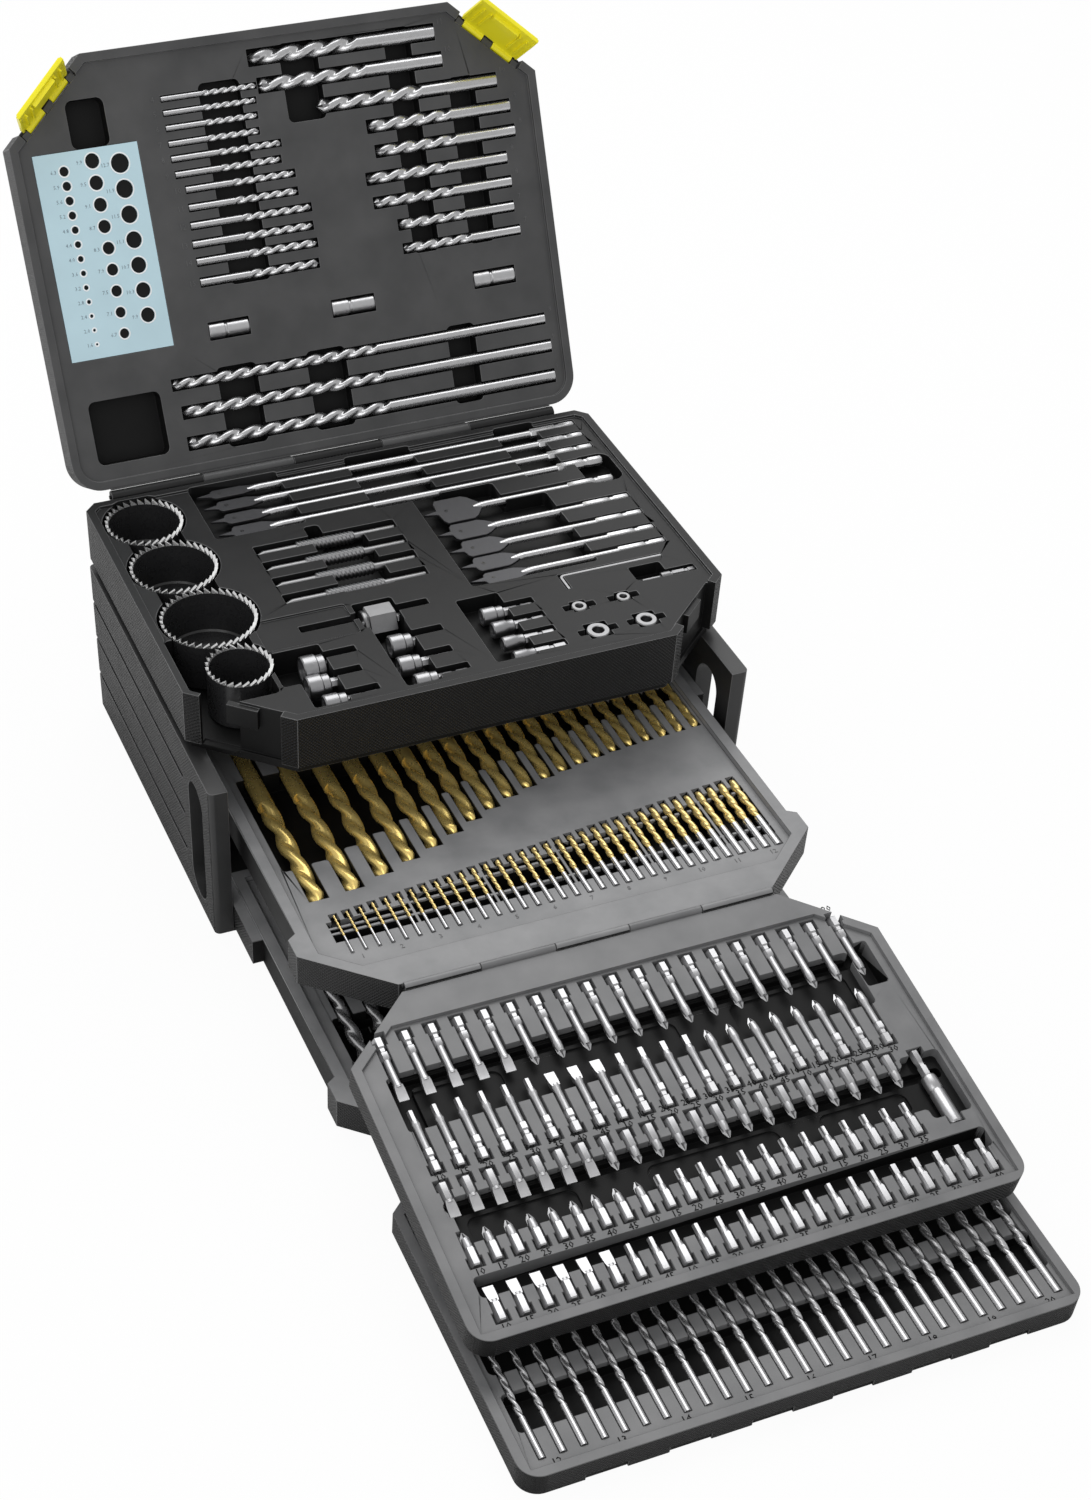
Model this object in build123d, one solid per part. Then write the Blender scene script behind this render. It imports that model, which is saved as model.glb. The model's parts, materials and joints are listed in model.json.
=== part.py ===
from build123d import *
import math
import os

# Drill bit case: a stacked tool case with a hinged lid, a fixed top tray and two drawers, each with
# a folding tray hinged to its front.  Frame: X to the right, Y to the back, Z up, in millimetres.
# The origin is at the middle of the base that the case stands on.

# ---------------------------------------------------------------- driving dimensions
case_width = 390.0          # top tray and lid, across
case_depth = 284.0          # top tray and lid, front to back
corner_cut_x = 60.0         # cut front corners of lid and top tray
corner_cut_y = 53.0
rear_cut = 8.0              # small cuts at the top tray's rear corners
clearance = 0.3             # between a piece and its seat
running_gap = 0.5           # between pieces that slide past one another

# body
side_overhang = 1.0         # side panels stand out beyond the top tray
panel_thickness = 13.0
body_height = 122.5
front_inset = 1.6           # body's front behind the top tray's
back_inset = 5.0
base_thickness = 2.2
rear_thickness = 4.0
band_depth = 3.0            # how far the side bands stand out
band_count = 4
band_groove = 3.6
band_front = 60.0           # the grooves between the bands end this far behind the front
grip_depth = 18.0           # front to back size of each grip
slot_length = 30.0          # finger slot behind the grip
slot_margin_low = 10.0      # body left below and above the slot
slot_margin_high = 16.5
rail_width = 7.0            # the guide rails stand in from the side panels
rail_height = 3.0
rail_lead = 3.0             # the rails start this far behind a closed drawer's wide front

# top tray
neck_height = 7.1
skirt_height = 39.4
tray_wall = 2.5
rim_step = 2.0              # deck below the rim
rim_width = 6.0
neck_inset = 5.0
neck_wall = 4.0
latch_seat_width = 57.0
latch_seat_depth = 7.0

# lid
lid_thickness = 24.0
lid_open = 117.6            # degrees open from closed
lid_axis_back = 7.5         # hinge axis behind the top tray
lid_axis_low = 3.1          # hinge axis below the top tray's rim
lid_corner = 20.0           # rounded corners at the hinge
lid_seam = 0.3              # between the closed lid's rim and the tray's rim
lid_hinge_margin = 22.5     # from each side of the lid to the hinge
lid_barrel = 4.5            # radius
lid_pin = 1.5               # radius
lid_gap = 0.8               # between the lid's edge and the tray's barrels

# latches
latch_width = 50.0
latch_length = 33.0
latch_plate = 2.6
latch_barrel = 3.0          # radius
latch_pin = 1.2             # radius
latch_rest = 20.0           # degrees swung out from closed
latch_axis_depth = 6.0      # pivot behind the lid's rim
latch_axis_in = 3.4         # pivot inside the lid's cut corner
catch_low = 19.0            # underside of the catch below the tray's rim
catch_top = 4.0
catch_width = 22.0
catch_gap = 0.3             # between the catch and a closed latch
hook_reach = 3.2

# drawers
drawer_gap = 2.0            # between a drawer's wide front and each side panel
shoe_gap = 0.6              # between a drawer's guide shoe and each side panel
body_gap = 1.0              # between a drawer's side and each rail
rear_gap = 2.0              # behind a closed drawer
drawer_inset = 1.0          # closed drawer's front behind the top tray's
drawer_height = 23.0
drawer_cut_x = 51.0
drawer_cut_y = 45.5
drawer_flare = 62.0         # the wide front ends here
drawer_taper = 4.0          # and narrows over this length
shoe_length = 68.0          # guide shoes along the rear
shoe_height = 20.0
drawer_deck = 4.0           # deck below the rim
drawer_band = 24.0          # plain band along the front
drawer_margin = 8.0         # plain band along the sides
drawer_pitch = 60.5         # one drawer above the other
drawer_1_out = 170.3
drawer_2_out = 241.7

# folding trays
tray_far = 249.0            # far end from the hinge axis
tray_near = 3.0             # hinge side starts this far from the axis
tray_height = 18.0
tray_corner = 14.0
tray_band = 26.0            # plain band beside the hinge ends here
tray_deck = 2.5
tray_rim_width = 6.5
tray_barrel = 2.6           # radius
tray_pin = 1.0              # radius
tray_seam = 0.6             # between the two rims when folded shut
tray_hinge_count = 5
notch_depth = 1.2           # notches along the foot of the lower folding tray
tray_1_tilt = 8.7           # degrees, hanging down from level

# derived places
half_width = case_width / 2
half_depth = case_depth / 2
body_side = half_width + side_overhang
panel_inner = body_side - panel_thickness
body_front = -half_depth + front_inset
body_back = half_depth - back_inset
skirt_bottom = body_height + neck_height
rim_height = skirt_bottom + skirt_height
deck_height = rim_height - rim_step
closed_front = -half_depth + drawer_inset
drawer_half = panel_inner - drawer_gap
shoe_half = panel_inner - shoe_gap
rail_inner = panel_inner - rail_width
drawer_body_half = rail_inner - body_gap
drawer_length = body_back - rear_thickness - rear_gap - closed_front
shoe_front = drawer_length - shoe_length
drawer_2_rim = base_thickness + clearance + drawer_height
drawer_1_rim = drawer_2_rim + drawer_pitch
drawer_1_front = closed_front - drawer_1_out
drawer_2_front = closed_front - drawer_2_out
rail_front = closed_front + drawer_flare + drawer_taper + rail_lead
rail_back = body_back - rear_thickness
tray_half = drawer_half
hinge_1_y = drawer_1_front - tray_near
hinge_2_y = drawer_2_front - tray_near
hinge_1_z = drawer_1_rim + tray_seam / 2
hinge_2_z = drawer_2_rim + tray_seam / 2
lid_axis_y = half_depth + lid_axis_back
lid_axis_z = rim_height - lid_axis_low
lid_hinge_length = case_width - 2 * lid_hinge_margin
lid_face = rim_height + lid_seam - lid_axis_z      # rim of the closed lid above the hinge axis
lid_near = lid_axis_y - half_depth
lid_far = lid_axis_y + half_depth
lid_edge = lid_barrel + lid_gap                    # near edge of the lid, from the axis


def across(x):
    """Place across the case in the layout of its pockets, which spreads with the width."""
    layout_half = 195.0
    return x * half_width / layout_half


def along(y):
    """Place front to back in the layout of the pockets, which spreads with the depth."""
    layout_half = 142.0
    return y * half_depth / layout_half


def over(x):
    """Place across a drawer or folding tray, spreading with its width."""
    layout_half = 181.0
    return x * tray_half / layout_half


def out(s):
    """Place along a folding tray from its hinge axis, spreading with its length."""
    layout_length = 249.0
    return s * tray_far / layout_length


def back(y):
    """Place along a drawer from its front, spreading with its length."""
    layout_length = 272.0
    return y * drawer_length / layout_length


def box(x0, x1, y0, y1, z0, z1):
    """Box between two corners."""
    size = Box(x1 - x0, y1 - y0, z1 - z0)
    return Pos((x0 + x1) / 2, (y0 + y1) / 2, (z0 + z1) / 2) * size


def prism(points, z0, z1, inset=0.0):
    """Upright prism on a polygon, drawn in by the inset."""
    face = make_face(Polyline(*points, close=True))
    if inset:
        face = offset(face, amount=-inset, kind=Kind.INTERSECTION)
    return Pos(0, 0, z0) * extrude(face, amount=z1 - z0)


def pocket(places, floor, top, radius):
    """Cut whose plan joins rectangles x0, x1, y0, y1, with its corners rounded."""
    plan = Sketch()
    plan += [Pos((x0 + x1) / 2, (y0 + y1) / 2) * Rectangle(x1 - x0, y1 - y0) for x0, x1, y0, y1 in places]
    plan = fillet(plan.vertices(), radius)
    return Pos(0, 0, floor) * extrude(plan, amount=top - floor)


def mirrored(points):
    """Right half of an outline, front to back, completed by its mirror image."""
    left = [(-x, y) for x, y in reversed(points)]
    return points + left


def turned(*stations):
    """Solid turned about the Y axis from (y, radius) stations."""
    points = [(0.0, stations[0][0])]
    for y, radius in stations:
        if (radius, y) != points[-1]:
            points.append((radius, y))
    if points[-1][0] > 0:
        points.append((0.0, stations[-1][0]))
    return revolve(make_face(Polyline(*points, close=True)), Axis.Y)


def rod_x(x0, x1, y, z, radius):
    """Round bar along X."""
    bar = Cylinder(radius, x1 - x0)
    return Pos((x0 + x1) / 2, y, z) * Rot(0, 90, 0) * bar


def spaced(first, last, count):
    """Evenly spaced values from first to last."""
    step = (last - first) / (count - 1)
    return [first + step * i for i in range(count)]


def save(name, *solids):
    """Write one node; several solids go in as a group."""
    flat = []
    for piece in solids:
        flat.extend(piece.solids())
    shape = flat[0] if len(flat) == 1 else Compound(children=flat)
    export_step(shape, f"parts/{name}.step")


os.makedirs("parts", exist_ok=True)

# ---------------------------------------------------------------- side panels
band_pitch = (body_height + band_groove) / band_count
slot_low = slot_margin_low
slot_high = body_height - slot_margin_high


def side_panel():
    """Right side panel: ribbed wall, grip with its finger slot, and the guide rails inside."""
    wall = box(panel_inner, body_side, body_front, body_back, 0, body_height)
    upright = wall.edges().filter_by(Axis.Z)
    outer = [e for e in upright if e.center().X > body_side - 1]
    wall = fillet(outer, 4.0)
    for level in range(1, band_count):
        top = level * band_pitch
        groove = box(body_side - band_depth, body_side + 1, body_front + band_front, body_back + 1,
                     top - band_groove, top)
        wall -= groove
    slot_front = body_front + grip_depth
    slot_mid_y = slot_front + slot_length / 2
    slot_mid_z = (slot_low + slot_high) / 2
    slot = SlotOverall(slot_high - slot_low, slot_length)
    through = extrude(Plane.YZ * Rot(0, 0, 90) * slot, amount=body_side)
    wall -= Pos(panel_inner / 2, slot_mid_y, slot_mid_z) * through
    rails = []
    for rim in (drawer_1_rim, drawer_2_rim):
        shoe_top = rim - drawer_height + shoe_height
        rails.append(box(rail_inner, panel_inner, rail_front, rail_back,
                         shoe_top + running_gap, shoe_top + running_gap + rail_height))
    under = drawer_1_rim - drawer_height - clearance
    rails.append(box(rail_inner, panel_inner, rail_front, rail_back, under - rail_height, under))
    return wall + rails


panel = side_panel()
save("side_panel_right", panel)
save("side_panel_left", panel.mirror(Plane.YZ))

# ---------------------------------------------------------------- base and rear panel
base = box(-panel_inner, panel_inner, body_front, body_back, 0, base_thickness)
save("base_panel", base)

rear = box(-panel_inner, panel_inner, body_back - rear_thickness, body_back, base_thickness, body_height)
save("rear_panel", rear)

# ---------------------------------------------------------------- top tray
tray_outline = mirrored([
    (half_width - corner_cut_x, -half_depth),
    (half_width, -half_depth + corner_cut_y),
    (half_width, half_depth - rear_cut),
    (half_width - rear_cut, half_depth),
])

# hole saws stand in a row at the left, from the back: diameter and distance from the left side
saw_sizes = [(54.0, 8.5), (60.0, 8.5), (65.0, 10.0), (44.0, 23.0)]
saw_margin = 4.0            # behind the first saw
saw_spacing = 2.5           # between one saw and the next
saw_height = 38.0
saw_wall = 1.8
saw_back = 4.0
saw_hub = 8.0               # radius
saw_proud = 1.0             # teeth above the deck
saw_room = 2.5              # recess beyond each saw
saw_rim = 3.5               # rim left outside the recess
saw_top = deck_height + saw_proud
saw_places = []
saw_edge = half_depth - saw_margin
for diameter, inset in saw_sizes:
    saw_places.append((-half_width + inset + diameter / 2, saw_edge - diameter / 2, diameter))
    saw_edge -= diameter + saw_spacing

# the recess narrows between one saw and the next
saw_necks = [(across(-178.0), across(-139.0), along(66.0), along(96.0)),
             (across(-177.0), across(-135.0), along(2.0), along(32.0)),
             (across(-190.0), across(-134.0), along(-108.0), along(-30.0))]

# tools that lie in the deck
spade_long_rows = [along(y) for y in (130.0, 114.0, 97.0, 79.5)]
spade_long_x = (across(-115.0), across(181.0))
spade_long_widths = [10.0, 12.0, 12.0, 14.0]
spade_short_rows = [along(y) for y in (54.0, 27.0, 5.0, -15.0, -33.0)]
spade_short_x = (across(30.0), across(178.0))
spade_short_widths = [29.0, 19.0, 19.0, 16.0, 13.0]
spade_shank = 6.35          # diameter
spade_plate = 2.0
spade_neck = 38.0           # the paddle passes into the shank here
rasp_rows = [along(y) for y in (49.5, 29.5, 9.5, -11.5)]
rasp_x = (across(-98.0), across(6.0))
rasp_body = 9.5             # diameter
rasp_shank = 6.35
arbor_row = along(-46.0)
arbor_x = (across(-99.0), across(-7.0))
arbor_nut = 12.0            # radius over the corners
arbor_nut_length = 23.0
arbor_shaft = 48.0
arbor_depth = 9.0           # axis below the deck
pilot_length = 43.0
pilot_radius = 3.1
setter_places = [(-110.0, -79.5, 19.0), (-114.0, -100.5, 16.0), (-110.0, -123.0, 14.0),
                 (-47.0, -77.0, 15.0), (-50.0, -101.0, 14.0), (-46.0, -122.0, 13.0),
                 (23.0, -69.0, 12.0), (24.0, -86.0, 11.0), (24.0, -103.5, 10.0), (25.0, -120.5, 9.0)]
setter_places = [(across(x), along(y), diameter) for x, y, diameter in setter_places]
setter_length = 38.0
setter_head = 16.0
head_margin = 1.5
setter_shank = 6.35
setter_wall = 1.6
stop_places = [(88.0, -86.5, 11.0), (88.7, -116.0, 16.0), (124.6, -115.7, 15.0), (121.0, -86.5, 10.0)]
stop_places = [(across(x), along(y), diameter) for x, y, diameter in stop_places]
stop_height = 8.0
key_long = 77.0
key_short = 16.0
key_bar = 3.0
key_corner_x = across(90.0)
key_row = along(-50.0)
step_bit_x = (across(142.0), across(183.0))
step_bit_row = along(-71.0)
step_bit_diameter = 7.0


def top_tray():
    """Skirted tray, open below, with pockets that hang from its deck."""
    shell = prism(tray_outline, skirt_bottom, rim_height)
    neck = prism(tray_outline, body_height, skirt_bottom + tray_wall, neck_inset)
    neck -= prism(tray_outline, body_height - 1, skirt_bottom + tray_wall, neck_inset + neck_wall)
    shell -= prism(tray_outline, deck_height, rim_height + 1, rim_width)
    hollow = prism(tray_outline, skirt_bottom - 1, deck_height - tray_wall, tray_wall)
    for side in (-1, 1):
        hollow -= corner_block(side, latch_seat_width + 10, latch_seat_depth + 6)
    flange = prism(tray_outline, skirt_bottom, skirt_bottom + tray_wall)
    flange -= prism(tray_outline, skirt_bottom - 1, skirt_bottom + tray_wall + 1, neck_inset + neck_wall)
    shell = shell - hollow + flange + neck
    inside = prism(tray_outline, body_height, deck_height, tray_wall)
    pads = []
    holes = []
    # one joined recess for the saws, as deep as they are high
    floor = saw_top - saw_height - clearance
    room = prism(tray_outline, floor, rim_height + 1, saw_rim)
    for x, y, diameter in saw_places:
        radius = diameter / 2 + saw_room
        holes.append(Pos(x, y, (floor + rim_height + 1) / 2) * Cylinder(radius, rim_height + 1 - floor) & room)
    for place in saw_necks:
        holes.append(pocket([place], floor, rim_height + 1, 4.0) & room)
    saw_places_x = [x + diameter / 2 + saw_room for x, y, diameter in saw_places]
    pads.append(box(-half_width, max(saw_places_x) + 2, saw_necks[-1][2] - 2, half_depth, floor - tray_wall,
                    deck_height - 0.5))
    for x0, x1, y0, y1, depth in deck_slots():
        pads.append(box(x0 - 2, x1 + 2, y0 - 2, y1 + 2, deck_height - depth - 2, deck_height - 0.5))
        holes.append(pocket([(x0, x1, y0, y1)], deck_height - depth, rim_height + 1, 1.0))
    for places, depth, radius in deck_recesses:
        for x0, x1, y0, y1 in places:
            pads.append(box(x0 - 2, x1 + 2, y0 - 2, y1 + 2, deck_height - depth - 2, deck_height - 0.5))
        holes.append(pocket(places, deck_height - depth, rim_height + 1, radius))
    pads = [inside & pad for pad in pads]
    shell += pads
    shell -= holes
    # latch seats in the cut corners, each with its catch
    for side in (-1, 1):
        seat = corner_block(side, latch_seat_width, latch_seat_depth)
        shell -= seat
        catch = corner_catch(side)
        shell += catch
    # hinge knuckles at the back
    for x0, x1 in hinge_spans(lid_hinge_length, 5)[0::2]:
        knuckle = rod_x(x0, x1, lid_axis_y, lid_axis_z, lid_barrel)
        web = box(x0, x1, half_depth - 0.5, lid_axis_y, lid_axis_z - lid_barrel, lid_axis_z - 1.0)
        shell += knuckle + web
    bore = rod_x(-half_width, half_width, lid_axis_y, lid_axis_z, lid_pin + clearance / 2)
    return shell - bore


def hinge_spans(length, count):
    """Start and end of each knuckle along X."""
    pitch = length / count
    start = -length / 2
    gap = clearance / 2
    return [(start + pitch * i + gap, start + pitch * (i + 1) - gap) for i in range(count)]


def corner_angle():
    """Angle of the cut corner from the X axis."""
    return math.degrees(math.atan2(corner_cut_y, corner_cut_x))


def corner_place(side):
    """Middle of a cut front corner of the tray, X along the cut and Y pointing inward."""
    x = side * (half_width - corner_cut_x / 2)
    y = -half_depth + corner_cut_y / 2
    return Pos(x, y, 0) * Rot(0, 0, side * corner_angle())


def corner_block(side, width, depth):
    """Full-height block in a cut corner, measured along and behind the cut."""
    return corner_place(side) * box(-width / 2, width / 2, -10, depth, skirt_bottom - 1, rim_height + 1)


def corner_catch(side):
    """Catch that a latch hooks under."""
    half = catch_width / 2
    seat = latch_seat_depth
    face = latch_axis_in - latch_barrel + latch_plate + catch_gap
    return corner_place(side) * box(-half, half, face, seat + 1,
                                    rim_height - catch_low, rim_height - catch_top)


def deck_slots():
    """Close-fitting slots of the top tray: x0, x1, y0, y1 and depth below the deck."""
    slots = []
    gap = clearance
    half = spade_shank / 2 + gap
    for rows, (x0, x1) in ((spade_long_rows, spade_long_x), (spade_short_rows, spade_short_x)):
        for y in rows:
            slots.append((x0 + spade_neck, x1 + gap, y - half, y + half, spade_shank + gap))
    half = rasp_body / 2 + gap
    for y in rasp_rows:
        slots.append((rasp_x[0] - gap, rasp_x[1] + gap, y - half, y + half, rasp_body + gap))
    half = spade_shank / 2 + gap
    slots.append((arbor_x[0] - gap, arbor_x[1] + gap, arbor_row - half, arbor_row + half,
                  arbor_depth + half))
    for x, y, diameter in setter_places:
        half = setter_shank / 2 + gap
        slots.append((x, x + setter_length + gap, y - half, y + half, diameter / 2 + half))
    for x, y, diameter in stop_places:
        half = diameter / 2 + gap
        slots.append((x - half, x + half, y - half, y + half, stop_height + gap))
        slots.append((x - half - 6, x + half + 6, y - 3, y + 3, stop_height / 2))
    half = key_bar / 2 + gap
    slots.append((key_corner_x - half, key_corner_x + key_long + gap, key_row - half, key_row + half,
                  key_bar + gap))
    slots.append((key_corner_x - half, key_corner_x + half, key_row - key_short - gap, key_row + half,
                  key_bar + gap))
    half = step_bit_diameter / 2 + gap
    slots.append((step_bit_x[0] - gap, step_bit_x[1] + gap, step_bit_row - half, step_bit_row + half,
                  step_bit_diameter + gap))
    return slots


def deck_area(*places):
    """Rectangles on the deck given in the layout of the pockets."""
    return [(across(x0), across(x1), along(y0), along(y1)) for x0, x1, y0, y1 in places]


def head_areas(setters, x0, y1, *wider):
    """Rectangles that take the heads of one column of nut setters."""
    end = max(x for x, y, diameter in setters) + setter_head + clearance
    front = min(y - diameter / 2 for x, y, diameter in setters) - head_margin
    areas = [(across(x0), end, front, along(y1))]
    return areas + [(across(x), end, along(low), along(high)) for x, low, high in wider]


def head_room(setters):
    """Depth that takes the heads of one column of nut setters."""
    return max(diameter for x, y, diameter in setters) + clearance


# wide recesses round the tools: joined rectangles, depth below the deck and corner radius
arbor_room = arbor_depth + arbor_nut + clearance
deck_recesses = [
    (deck_area((-119, -52, 72, 138)), 9.0, 3.0),
    (deck_area((0, 51, 71, 138)), 12.0, 3.0),
    (deck_area((118, 150, 72, 138)), 12.0, 3.0),
    (deck_area((28, 123, -41.5, 50), (28, 91, 40, 74)), 11.0, 3.0),
    (deck_area((158, 186, 48, 84)), 10.5, 8.0),
    (deck_area((-57, -19, -18, 45), (-57, -46, 30, 66)), 14.0, 3.0),
    (head_areas(setter_places[0:3], -119, -90, (-131, -104, -67)), head_room(setter_places[0:3]), 2.0),
    (deck_area((-58, -29, -61, -33)), arbor_room, 2.0),
    (head_areas(setter_places[3:6], -54.5, -52), head_room(setter_places[3:6]), 2.0),
    (head_areas(setter_places[6:], 10.5, -53), head_room(setter_places[6:]), 2.0),
    (deck_area((138, 162, -73, -57)), 10.0, 2.0),
    (deck_area((-128, -62, -64, -30)), 1.6, 2.0),
]


save("top_tray", top_tray())

# ---------------------------------------------------------------- what the top tray holds
for number, (x, y, diameter) in enumerate(saw_places, start=1):
    cup = Cylinder(diameter / 2, saw_height)
    bore = Pos(0, 0, saw_back) * Cylinder(diameter / 2 - saw_wall, saw_height)
    hub = Cylinder(saw_hub, saw_height)
    saw = Pos(x, y, saw_top - saw_height / 2) * (cup - bore - hub)
    save(f"hole_saw_{number}", saw)


def along_x(solid, x, y, z, turn=-90):
    """Stand a solid turned about Y along X instead, from x onward."""
    return Pos(x, y, z) * Rot(0, 0, turn) * solid


def spade_bit(length, width):
    """Flat paddle with a centre spur on a round shank, from its tip along Y."""
    half = spade_plate / 2
    paddle = box(-width / 2, width / 2, 12, spade_neck, -half, half)
    spur = make_face(Polyline((0, 0), (2.5, 12.5), (-2.5, 12.5), close=True))
    spur = Pos(0, 0, -half) * extrude(spur, amount=spade_plate)
    shank = turned((spade_neck - 2, 1.2), (spade_neck + 6, spade_shank / 2), (length, spade_shank / 2))
    return paddle + spur + shank


spade_z = deck_height - spade_shank / 2
long_length = spade_long_x[1] - spade_long_x[0]
long_bits = []
for y, width in zip(spade_long_rows, spade_long_widths):
    long_bits.append(along_x(spade_bit(long_length, width), spade_long_x[0], y, spade_z))
save("long_spade_bits", *long_bits)

short_length = spade_short_x[1] - spade_short_x[0]
short_bits = []
for y, width in zip(spade_short_rows, spade_short_widths):
    short_bits.append(along_x(spade_bit(short_length, width), spade_short_x[0], y, spade_z))
save("short_spade_bits", *short_bits)

rasp_length = rasp_x[1] - rasp_x[0]
rasp_profile = [(0, 0.8), (6, rasp_shank / 2), (30, rasp_shank / 2), (31, rasp_body / 2), (72, rasp_body / 2),
                (73, rasp_shank / 2), (rasp_length, rasp_shank / 2)]
rasp_z = deck_height - rasp_body / 2
save("rasp_bits", *[along_x(turned(*rasp_profile), rasp_x[0], y, rasp_z) for y in rasp_rows])

arbor_z = deck_height - arbor_depth
arbor_start = arbor_x[1] - arbor_shaft
nut = extrude(RegularPolygon(arbor_nut, 6), amount=arbor_nut_length)
nut = Pos(arbor_start, arbor_row, arbor_z) * Rot(0, 90, 0) * nut
shaft = rod_x(arbor_start, arbor_x[1], arbor_row, arbor_z, spade_shank / 2 - 0.2)
save("hole_saw_arbor", nut + shaft)
pilot = turned((0, 0.5), (2.5, pilot_radius), (pilot_length, pilot_radius))
save("pilot_drill", along_x(pilot, arbor_start - clearance - pilot_length, arbor_row, arbor_z))

setters = []
for x, y, diameter in setter_places:
    socket = turned((0, diameter / 2), (setter_head, diameter / 2), (setter_head, setter_shank / 2),
                    (setter_length, setter_shank / 2))
    mouth = Pos(0, 4, 0) * Rot(90, 0, 0) * extrude(RegularPolygon(diameter / 2 - setter_wall, 6), amount=5, both=True)
    setters.append(along_x(socket - mouth, x, y, deck_height - diameter / 2))
save("nut_setters", *setters)

stops = []
for x, y, diameter in stop_places:
    ring = Cylinder(diameter / 2, stop_height) - Cylinder(diameter / 4, stop_height)
    stops.append(Pos(x, y, deck_height - stop_height / 2) * ring)
save("drill_stops", *stops)

key_z = deck_height - key_bar / 2
half_bar = key_bar / 2
key_shape = box(key_corner_x - half_bar, key_corner_x + key_long, key_row - half_bar, key_row + half_bar,
                key_z - half_bar, key_z + half_bar)
key_shape += box(key_corner_x - half_bar, key_corner_x + half_bar, key_row - key_short, key_row,
                 key_z - half_bar, key_z + half_bar)
save("hex_key", key_shape)

step_profile = [(0, 1.0), (3, 1.5), (14, 1.5), (15, 3.4), (22, 3.4), (23, 2.6),
                (step_bit_x[1] - step_bit_x[0], 2.6)]
save("step_bit", along_x(turned(*step_profile), step_bit_x[0], step_bit_row, deck_height - step_bit_diameter / 2))

hinge_half = lid_hinge_length / 2 + 1.0
save("lid_hinge_pin", rod_x(-hinge_half, hinge_half, lid_axis_y, lid_axis_z, lid_pin))

# ---------------------------------------------------------------- lid, in its own flat frame
# The lid is drawn lying open and level: the hinge axis is at the origin, the lid reaches along +Y
# and its inner side faces up.  lid_place then swings it to its open angle.
lid_place = Pos(0, lid_axis_y, lid_axis_z) * Rot(180 - lid_open, 0, 0)
lid_top = -lid_face                         # inner rim, below the hinge axis
lid_deck = lid_top - 2.5
lid_back = lid_top - lid_thickness
lid_outline = mirrored([
    (half_width, lid_edge),
    (half_width, lid_far - corner_cut_y),
    (half_width - corner_cut_x, lid_far),
])

# what lies in the lid: x0, x1, distance from the hinge, diameter
small_bits = [(-83.5, -14.0, 255.7, 4.0), (-83.5, -15.8, 246.4, 4.2), (-83.5, -16.3, 236.6, 4.4),
              (-83.5, -17.0, 226.3, 4.6), (-83.5, -2.7, 216.4, 4.8), (-82.5, -4.6, 205.9, 5.0),
              (-77.0, 4.0, 195.3, 5.2), (-77.0, 4.0, 183.2, 5.4), (-78.0, 12.1, 171.2, 5.6),
              (-79.0, 11.2, 158.8, 5.8), (-78.2, 12.4, 146.9, 6.0), (-78.1, 11.1, 133.0, 6.4)]
medium_bits = [(-17.0, 122.6, 273.6, 11.0), (-12.8, 125.8, 255.1, 10.0), (28.4, 165.2, 236.2, 10.0),
               (62.3, 172.9, 217.8, 9.0), (66.0, 174.4, 200.7, 8.5), (56.0, 165.4, 183.2, 8.5),
               (58.9, 166.5, 166.5, 8.0), (74.9, 165.8, 149.3, 7.5), (76.2, 168.3, 132.6, 7.0)]
long_lid_bits = [(-112.0, 178.6, 67.5, 8.0), (-108.0, 181.0, 47.5, 9.0), (-108.0, 181.0, 25.7, 9.5)]
sleeve_places = [(-78.0, -47.9, 99.3, 12.0), (15.5, 48.3, 100.0, 12.0), (127.0, 159.6, 102.7, 12.0)]


def in_lid(rows):
    """Spread rows of x0, x1 and distance from the hinge with the lid's width and depth."""
    return [(across(x0), across(x1), lid_near + along(y - 7.5), size) for x0, x1, y, size in rows]


small_bits = in_lid(small_bits)
medium_bits = in_lid(medium_bits)
long_lid_bits = in_lid(long_lid_bits)
sleeve_places = in_lid(sleeve_places)
plate_x = (across(-180.0), across(-105.5))
plate_y = (lid_near + along(87.0), lid_near + along(224.0))
plate_thickness = 1.2
# holes of the gauge: place across the plate, first and last place along it, diameters
plate_hole_rows = [(0.805, 0.09, 0.83, [12.7, 11.9, 11.5, 11.1, 10.7, 10.3, 9.9]),
                   (0.55, 0.06, 0.90, [9.9, 9.5, 9.1, 8.7, 8.3, 7.9, 7.5, 7.1, 6.7]),
                   (0.27, 0.09, 0.93, [6.35, 5.9, 5.6, 5.2, 4.8, 4.4, 4.0, 3.6, 3.2, 2.8, 2.4, 2.0, 1.6])]
case_pocket = (across(-175.0), across(-122.0), lid_near + along(14.5), lid_near + along(58.5), 16.0)
finger_slot = (across(-151.0), across(-124.0), plate_y[1], plate_y[1] + 31.5, 14.0)


def lid_bit(x0, x1, y, diameter, tip_left):
    """Masonry bit lying along X, tip to the left or to the right."""
    radius = diameter / 2
    length = x1 - x0
    solid = turned((0, 0.6), (radius * 0.9, radius), (length * 0.62, radius), (length * 0.64, radius * 0.9),
                   (length, radius * 0.9))
    z = lid_deck - radius + 1.5
    if tip_left:
        return along_x(solid, x0, y, z)
    return along_x(solid, x1, y, z, turn=90)


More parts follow.
